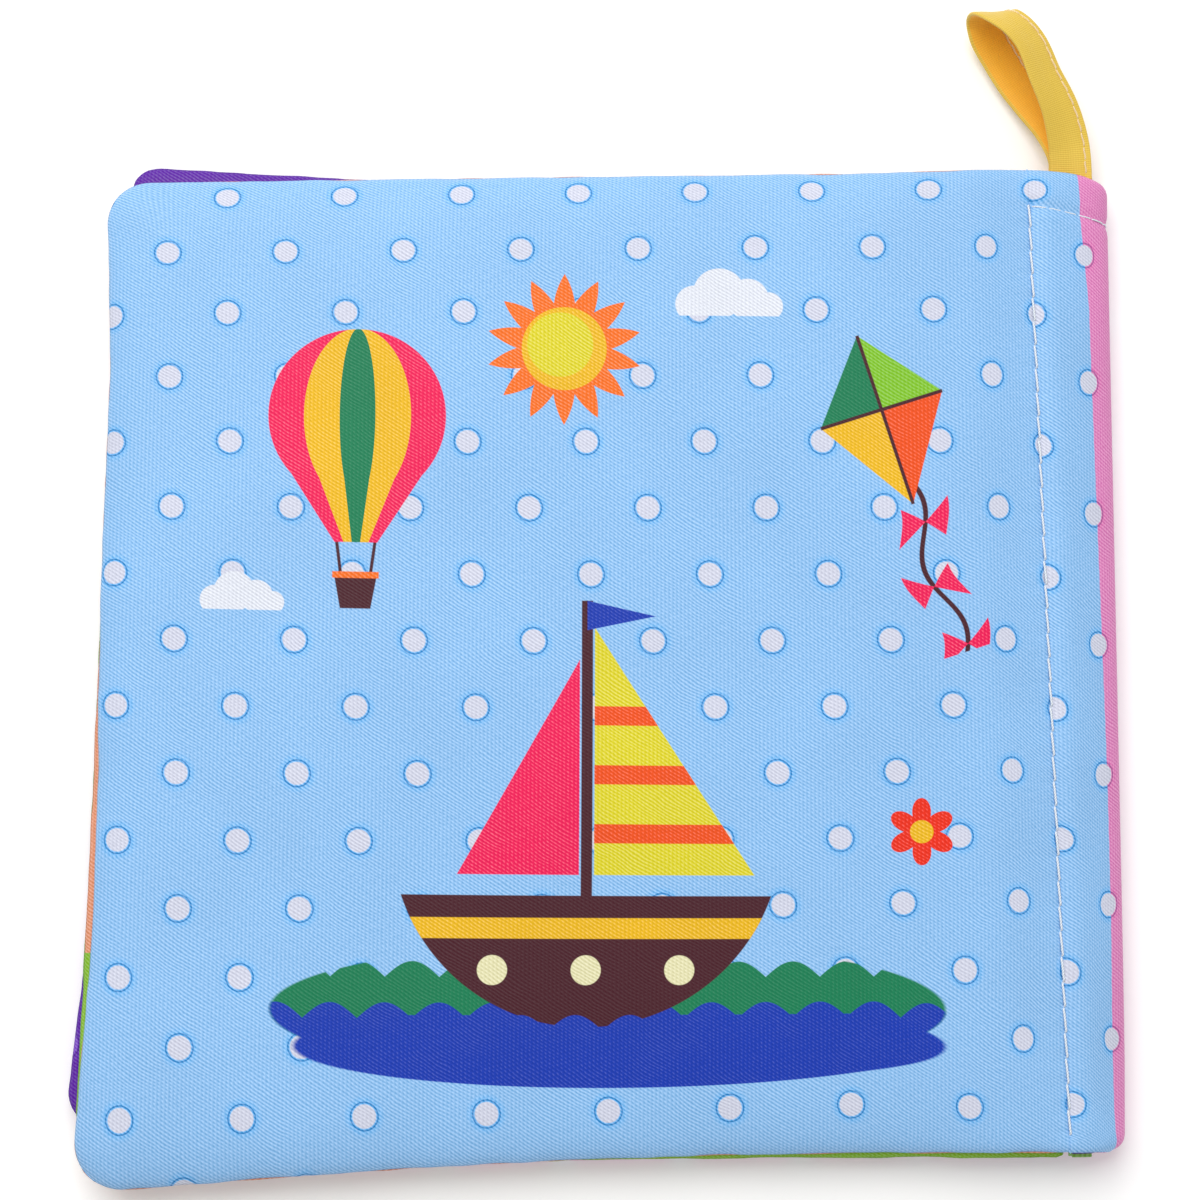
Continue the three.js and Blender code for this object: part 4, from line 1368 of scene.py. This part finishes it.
# The loop's route from its upper root to its lower one: places, and how far its width turns and rolls
loop = {
    "tapeX": 81.7, "width": 7.4, "thickness": 0.7, "legLift": 0.46, "stitchInset": 1.1, "stitchPitch": 2.3,
    "steps": 12, "rootSteps": 6, "rootDepth": 1.2, "hingeY": 87.4, "freeY": 90.5, "tail": (80.3, 86.85),
    "waviness": 0.05, "wavePlace": 0.6, "waveSeed": 5, "waveLengths": (22, 7),
    "route": [
        (81.7, 88.2, 5.53, 0, 0), (81.6, 90.6, 5.8, 2, 2), (81.3, 93.5, 6.3, 8, 8), (79.8, 99.0, 7.7, 14, 18),
        (77.0, 105.1, 9.0, 22, 27), (74.5, 110.9, 9.7, 24, 30), (71.9, 114.1, 9.6, 20, 26),
        (69.6, 116.0, 8.6, 10, 14), (68.2, 117.0, 6.8, 3, 4), (67.8, 117.1, 4.6, 4, 0),
        (68.0, 116.3, 3.1, 10, 0), (68.6, 114.4, 2.2, 24, 0), (70.8, 110.6, 1.5, 33, 0),
        (73.2, 106.5, 1.4, 38, 0), (76.0, 102.5, 1.8, 40, 0), (79.3, 97.5, 2.9, 26, 0),
        (81.2, 92.9, 4.1, 8, 0), (81.7, 90.6, 4.45, 2, 0), (81.7, 88.2, 4.61, 0, 0),
    ],
}


# A curve through points, each stretch a cubic whose end slopes follow the roots of the gaps around it
def throughPoints(points, steps):
    points = np.concatenate([[2 * points[0] - points[1]], points, [2 * points[-1] - points[-2]]])
    gaps = np.maximum(np.linalg.norm(np.diff(points, axis=0), axis=1) ** 0.5, 1e-4)[:, None]
    before, here, after, later = points[:-3], points[1:-2], points[2:-1], points[3:]
    g0, g1, g2 = gaps[:-2], gaps[1:-1], gaps[2:]
    out = ((here - before) / g0 - (after - before) / (g0 + g1) + (after - here) / g1) * g1
    into = ((after - here) / g1 - (later - here) / (g1 + g2) + (later - after) / g2) * g1
    t = np.linspace(0, 1, steps, endpoint=False)[None, :, None]
    third, fourth = -3 * here + 3 * after - 2 * out - into, 2 * here - 2 * after + out + into
    curve = here[:, None] + out[:, None] * t + third[:, None] * t ** 2 + fourth[:, None] * t ** 3
    return np.concatenate([curve.reshape(-1, points.shape[1]), points[-2:-1]])


# The loop's middle line, with a short straight root at both ends, and at each place the way across the tape,
# turned and rolled and then squared to the line, and the way out of its face
def loopFrames():
    route, extra = np.array(loop["route"], float), loop["rootSteps"]
    middle = throughPoints(route[:, :3], loop["steps"])
    turnsAndPlaces = np.column_stack([route[:, 3:], np.arange(len(route)) * 20])
    turns = np.radians(throughPoints(turnsAndPlaces, loop["steps"]))
    root = np.linspace(-loop["rootDepth"], -0.1, extra)[:, None] * [[0, 1, 0]]
    middle = np.concatenate([middle[:1] + root, middle, middle[-1:] + root[::-1]])
    turn, roll = np.pad(turns[:, :2], ((extra, extra), (0, 0)), "edge").T
    ways = np.gradient(middle, axis=0)
    ways /= np.linalg.norm(ways, axis=1, keepdims=True)
    across = np.column_stack([np.cos(turn) * np.cos(roll), np.sin(turn) * np.cos(roll), -np.sin(roll)])
    across -= (across * ways).sum(1, keepdims=True) * ways
    across /= np.linalg.norm(across, axis=1, keepdims=True)
    return middle, across, np.cross(across, ways)


# Section of the folded tape: two plies, rounded at the fold, pressed thin under its stitching, with a
# narrow slit between the plies at the stitched side
def tapeSection():
    half, face = loop["width"] / 2, loop["thickness"] / 2
    lip, slitDepth, pressed, pressedReach = 0.18, 0.6, 0.28, 0.42
    hollow, hollowTurn, foldShare = 0.06, 1.7, 0.95
    turn = np.linspace(math.pi / 2, -math.pi / 2, 7)
    top = np.linspace(-half + face, half - lip, 26)
    underStitch = np.exp(-((top - half + loop["stitchInset"]) / pressedReach) ** 2)
    swelling = face * (1 - pressed * underStitch - hollow * np.cos(top * hollowTurn))
    fold = np.column_stack([-half + face - face * np.cos(turn), -face * foldShare * np.sin(turn)])
    upperLip = np.column_stack([half - lip + lip * np.cos(turn), swelling[-1] / 2 * (1 + np.sin(turn))])
    lowerLip = upperLip[::-1] * [1, -1]
    upper, lower = np.column_stack([top, swelling]), np.column_stack([top, -swelling])[::-1]
    slit = [[half - slitDepth, 0]]
    return np.concatenate([upper, upperLip[1:], slit, lowerLip[:-1], lower, fold[1:-1], upper[:1]])


# The section swept along a line, lifted by a slow wave, and closed to a point at both ends
def tapeGrid(middle, across, outward):
    section = tapeSection()
    along = np.arange(len(middle)) * loop["wavePlace"]
    wave = loop["waviness"] * swell(along, np.zeros(len(middle)), loop["waveSeed"], *loop["waveLengths"])
    centres = (middle + wave[:, None] * outward)[:, None]
    points = centres + section[None, :, :1] * across[:, None] + section[None, :, 1:] * outward[:, None]
    ends = np.broadcast_to(points[[0, -1], :-1].mean(1, keepdims=True), (2, *points.shape[1:]))
    points = np.concatenate([ends[:1], points, ends[1:]])
    along = np.pad(runAlong(middle), 1, "edge")
    return points, np.stack(np.broadcast_arrays(along[:, None], runAlong(section)[None]), -1), False


loopThread = {
    "outerStart": 1.0,
    "innerStart": 5.0,
    "steps": 16,
    "radius": 0.17,
    "overTape": 0.06,
    "dive": 0.28,
    "sway": 0.06,
    "holeShare": 0.14,
    "pressedShare": 0.74,
}


# Dashes along the stitched side of the tape, on its outer face for 1 and on the one inside the loop for -1
def loopStitches(face):
    frames, look = loopFrames(), loopThread
    along = runAlong(frames[0])
    first = look["innerStart"] if face < 0 else look["outerStart"]
    last = along[-1] - first
    count = round((last - first) / loop["stitchPitch"])
    place = np.linspace(first, last, count * look["steps"] + 1)
    middle, across, outward = (np.column_stack([np.interp(place, along, part[:, axis]) for axis in range(3)])
                               for part in frames)
    within = ((place - first) / (last - first) * count) % 1
    hole = 1 - smooth(np.minimum(within, 1 - within) / look["holeShare"])
    lift = loop["thickness"] / 2 * look["pressedShare"] + look["overTape"] - look["dive"] * hole
    offset = loop["width"] / 2 - loop["stitchInset"] + look["sway"] * np.sin(2 * math.pi * within)
    path = middle + offset[:, None] * across + (face * lift)[:, None] * outward
    return tube(path, look["radius"], sides=8, up=(0.2, 0.1, 1))


gutterLook = {
    "tuckOut": [-5.6, -3.6, -1.8],
    "tuckDrop": [0.55, 0.5, 0.3],
    "turns": 25,
    "rows": 90,
    "foldIn": 0.62,
    "foldOut": 0.5,
}


# Gutter roll: the cloth that joins two pages at the seam. At rest it is a small fold between them, and its
# flat cloth runs the length of a half round.
def gutter(zLow, zHigh, foot, head):
    look = gutterLook
    turn = np.linspace(0, 1, look["turns"])
    tuck, drop = np.array(look["tuckOut"]), np.array(look["tuckDrop"])
    height = 0.5 - np.sin(np.arcsin(1 - 2 * turn) / 3)
    z = np.concatenate([zLow - drop, zLow + (zHigh - zLow) * height, zHigh + drop[::-1]])
    out = np.concatenate([tuck, look["foldOut"] * np.sin(math.pi * turn) - look["foldIn"], tuck[::-1]])
    halfRound = math.pi * (hingeLevel - (zLow + zHigh) / 2)
    u = np.concatenate([tuck, turn * halfRound, halfRound - tuck[::-1]]) - halfRound - book["seamX"]
    y = np.linspace(foot, head, look["rows"])[:, None]
    points = np.stack(np.broadcast_arrays(seamXAt(y) + out[None], y, z[None]), -1)
    return points, np.stack(np.broadcast_arrays(u[None], y), -1), True


# How deep the spine's layers lie under its outer face, how far the inner ones stop short of its ends and how
# far they reach out again at the foot
layers = {
    "lining": 1.84,
    "innerFold": 2.06,
    "centreFold": 3.5,
    "startGap": 0.6,
    "innerEnd": 1.62,
    "innerFootReach": 1.9,
    "centreFootReach": 2.5,
    "outerPad": (0.85, 1.55, 1.4),
    "innerPad": (2.4, 3.2, 3.0),
}
outerSurface = spineSurface(0, layers["lining"], 0)
roundFold = float(outerSurface[1][len(outerSurface[1]) // 2, -5, 0]) - seamXAt(0)
frontShift = -(2 * book["seamX"] + roundFold)
blueEdge = ((82.8, 85), (83.9, 66), (84.9, -14), (84.5, -60))
spinePrintEdge = [flatAt(outerSurface, *at) for at in blueEdge]

clothColours = {
    "blue": "#9EC9F4",
    "pink": "#E997C9",
    "rose": "#F0A3C4",
    "purple": "#6A3FA8",
    "green": "#8FBF6A",
    "peach": "#E8A589",
}
prints = {
    "blue": ("blue", coverPrint),
    "blue_to_pink": ("blue", spinePrint),
    "pink": ("pink", frontCoverPrint),
    "rose": ("rose", rosePrint),
    "purple_kites": ("purple", purpleUpperPrint),
    "purple_flowers": ("purple", purpleLowerPrint),
    "green": ("green", greenPrint),
    "peach_village": ("peach", peachUpperPrint),
    "peach_boat": ("peach", peachLowerPrint),
}
cloths = {name: printedCloth(f"satin_twill_printed_{name}", clothColours[colour], drawPrint)
          for name, (colour, drawPrint) in prints.items()}
wadding = plainMaterial("polyester_wadding_needled", "#F4F3EE", "#DAD8D0", 1.4, 0.9, 0.25)
film = plainMaterial("crinkle_film_blown", "#DDE2E6", "#C6CED6", 0.35, 0.18, 0.08,
                     **{"Specular IOR Level": 0.6, "Coat Weight": 0.3})
whiteThread = threadMaterial("polyester_thread_spun_white", "#F4F7FA", "#B9C6D6")
creamThread = threadMaterial("polyester_thread_spun_cream", "#FBE6BC", "#D6A95C", 0.34)
yellowTape = tapeMaterial("cotton_tape_woven_yellow")
print("materials made")


# A sheet: one piece with a wall of its thickness, in place of its node where it has one
def addSheet(name, grid, material, body, node, thickness):
    piece = addPiece(name, [grid], material, body, thickness)
    if node:
        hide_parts(node)
    return piece


# A sheet of printed cloth, whose print's name gives its material
def addCloth(name, grid, printName, body, node, thickness=leafLook["clothThickness"]):
    return addSheet(name, grid, cloths[printName], body, node, thickness)


# A closed piece that takes the place of its solid
def addSolid(name, grids, material, body, node):
    piece = addPiece(name, grids, material, body, weld=True)
    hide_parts(node)
    return piece


panels = {
    "front_cover": {"upper": "rose", "lower": "pink"},
    "front_leaf": {"upper": "purple_kites", "lower": "purple_flowers"},
    "back_leaf": {"upper": "peach_village", "lower": "green"},
    "back_cover": {"upper": "blue", "lower": "peach_boat"},
}
outerPanels = (("back_cover", "upper"), ("front_cover", "lower"))
for number, leaf in enumerate(leaves):
    name, body, seed = leaf["name"], leaf["body"], 100 * (number + 1)
    for word, side in (("upper", 1), ("lower", -1)):
        grid = leafCloth(leaf, side, seed + 10 * side, (name, word) in outerPanels)
        addCloth(f"{name}_{word}_panel", grid, panels[name][word], body, f"{name}_{word}_cloth")
    addSolid(f"{name}_batt", leafWadding(leaf, seed + 40), wadding, body, f"{name}_wadding")
    addSheet(f"{name}_film_sheet", leafFilm(leaf, seed + 50), film, body, f"{name}_crinkle_film",
             filmLook["thickness"])
    addSolid(f"{name}_edge_stitches", [edgeStitches(leaf)], whiteThread, body, f"{name}_edge_thread")
print("leaves made")

lining, innerFold, centreFold = layers["lining"], layers["innerFold"], layers["centreFold"]
wraps = {
    "spine_outer": (outerSurface, "blue_to_pink", "spine_outer_batt"),
    "spine_lining": (spineSurface(lining, 0, layers["startGap"], lip=False), "rose", "spine_outer_batt"),
    "inner_fold": (spineSurface(innerFold, centreFold, layers["startGap"], layers["innerEnd"], lip=False,
                                footReach=layers["innerFootReach"]), "purple_flowers", "inner_fold_batt"),
    "centre_fold": (spineSurface(centreFold, innerFold, layers["startGap"], layers["innerEnd"], lip=False,
                                 footReach=layers["centreFootReach"]), "green", "inner_fold_batt"),
}
for name, (surface, printName, restsOn) in wraps.items():
    addCloth(f"{name}_wrap", surface, printName, "spine", f"{name}_cloth")
for name, pad in (("spine_outer", "outerPad"), ("inner_fold", "innerPad")):
    addSolid(f"{name}_batt", [spinePad(*layers[pad])], wadding, "spine", f"{name}_wadding")

seamEnds = [(seamXAt(y), y) for y in (book["seamHead"], book["seamFoot"])]
spineThreads = {
    "spine_seam_top_stitches": ("spine_seam_upper_thread", tube(stitchPath(*seamEnds, upperThread, 1),
                                                                upperThread["radius"])),
    "spine_seam_bobbin_stitches": ("spine_seam_bobbin_thread", tube(stitchPath(*seamEnds, bobbinThread, -1),
                                                                    bobbinThread["radius"])),
    "spine_bar_stitches": ("spine_bar_seam_thread", tube(barPath(), barThread["radius"], up=(0, 1, 0))),
}
for name, (node, grid) in spineThreads.items():
    addSolid(name, [grid], whiteThread, "spine", node)
print("spine made")


# Bakes a piece's place into its own mesh, where it rides on no body
def bendsBetween(piece):
    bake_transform(piece)


# The tape's two ends, sewn flat into the spine above and below its middle
def tapeTail(steps=12):
    parts = []
    for side in (1, -1):
        level = spineMiddle + side * loop["legLift"]
        middle = np.column_stack([np.full(steps, loop["tapeX"]), np.linspace(*loop["tail"], steps),
                                  np.full(steps, level)])
        across, outward = (np.repeat([way], steps, 0) for way in ((1.0, 0, 0), (0, 0, side)))
        points, uv, _ = tapeGrid(middle, across, outward)
        parts.append((points, uv, side > 0))
    return parts


addSolid("loop_tail_ends", tapeTail(), yellowTape, "spine", "hanging_loop_tail")
loopParts = {
    "loop_tape_folded": ("hanging_loop_tape", tapeGrid(*loopFrames()), yellowTape, "yellow_tape"),
    "loop_outer_stitches": ("hanging_loop_outer_thread", loopStitches(1), creamThread, "cream_thread"),
    "loop_inner_stitches": ("hanging_loop_inner_thread", loopStitches(-1), creamThread, "cream_thread"),
}
for name, (node, grid, material, slot) in loopParts.items():
    piece = addSolid(name, [grid], material, None, node)
    bendsBetween(piece)
print("loop made")

# Each gutter runs from the top of one leaf to the underside of the next, as the seam draws them together
gutters = {
    "front_gutter": ("purple_flowers", -78.4, 86.6),
    "middle_gutter": ("green", -78.8, 85.2),
    "back_gutter": ("peach_boat", -78.6, 86.4),
}
for (name, (printName, foot, head)), below, above in zip(gutters.items(), leaves, leaves[1:]):
    low, high = ((leaf["middle"] + side * leaf["thickness"] / 2) * (1 - book["pinchShare"])
                 for leaf, side in ((below, 1), (above, -1)))
    piece = addCloth(name, gutter(low, high, foot, head), printName, None, None,
                     0)
    bendsBetween(piece)
print("gutters made")

# Pale seamless floor under soft light: a broad lamp overhead, a little from the head side, and a fill
floorLook = {
    "span": 4,
    "level": -0.0006,
    "settings": {"Base Color": linear("#FBFBFA"), "Roughness": 0.9, "Emission Color": linear("#FFFFFF"),
                 "Emission Strength": 0.1},
}
floorMaterial = bpy.data.materials.new("pale_paper_floor")
floorMaterial.use_nodes = True
for key, value in floorLook["settings"].items():
    floorMaterial.node_tree.nodes["Principled BSDF"].inputs[key].default_value = value
span = floorLook["span"]
floorMesh = bpy.data.meshes.new("floor")
corners = [(-span, -span, 0), (span, -span, 0), (span, span, 0), (-span, span, 0)]
floorMesh.from_pydata(corners, [], [(0, 1, 2, 3)])
floorMesh.materials.append(floorMaterial)
floor = bpy.data.objects.new("floor", floorMesh)
floor.location.z = floorLook["level"]
bpy.context.scene.collection.objects.link(floor)
floor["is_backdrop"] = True

lamps = {
    "overhead": {"at": (-0.22, 0.55, 0.92), "size": 1.0, "power": 10.8},
    "fill": {"at": (0.7, -0.8, 0.9), "size": 1.4, "power": 2.2},
}
for name, lamp in lamps.items():
    light = bpy.data.lights.new(name, "AREA")
    light.shape = "SQUARE"
    light.size, light.energy = lamp["size"], lamp["power"]
    holder = bpy.data.objects.new(name, light)
    holder.location = lamp["at"]
    aim = -np.array(lamp["at"]) / np.linalg.norm(lamp["at"])
    holder.rotation_euler = (math.acos(-aim[2]), 0, math.atan2(aim[1], aim[0]) - math.pi / 2)
    bpy.context.scene.collection.objects.link(holder)

skyStrength = 0.43
world = bpy.data.worlds.new("studio")
world.use_nodes = True
world.node_tree.nodes["Background"].inputs[0].default_value = (1, 1, 1, 1)
world.node_tree.nodes["Background"].inputs[1].default_value = skyStrength
bpy.context.scene.world = world
bpy.context.scene.view_settings.view_transform = "Standard"

# The photograph's view: from above, leaning a little from the foot, at a distance from a place on the book
view = {"lens": 78.3, "sensor": 36, "tilt": 8.2, "distance": 0.4424, "aim": (-0.00098, 0.0117, 0.01085)}
lens = bpy.data.cameras.new("photographView")
lens.lens, lens.sensor_width = view["lens"], view["sensor"]
camera = bpy.data.objects.new("photographView", lens)
tilt = math.radians(view["tilt"])
camera.location = np.array(view["aim"]) + view["distance"] * np.array([0, -math.sin(tilt), math.cos(tilt)])
camera.rotation_euler = (tilt, 0, 0)
bpy.context.scene.collection.objects.link(camera)
bpy.context.scene.camera = camera

low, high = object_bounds()
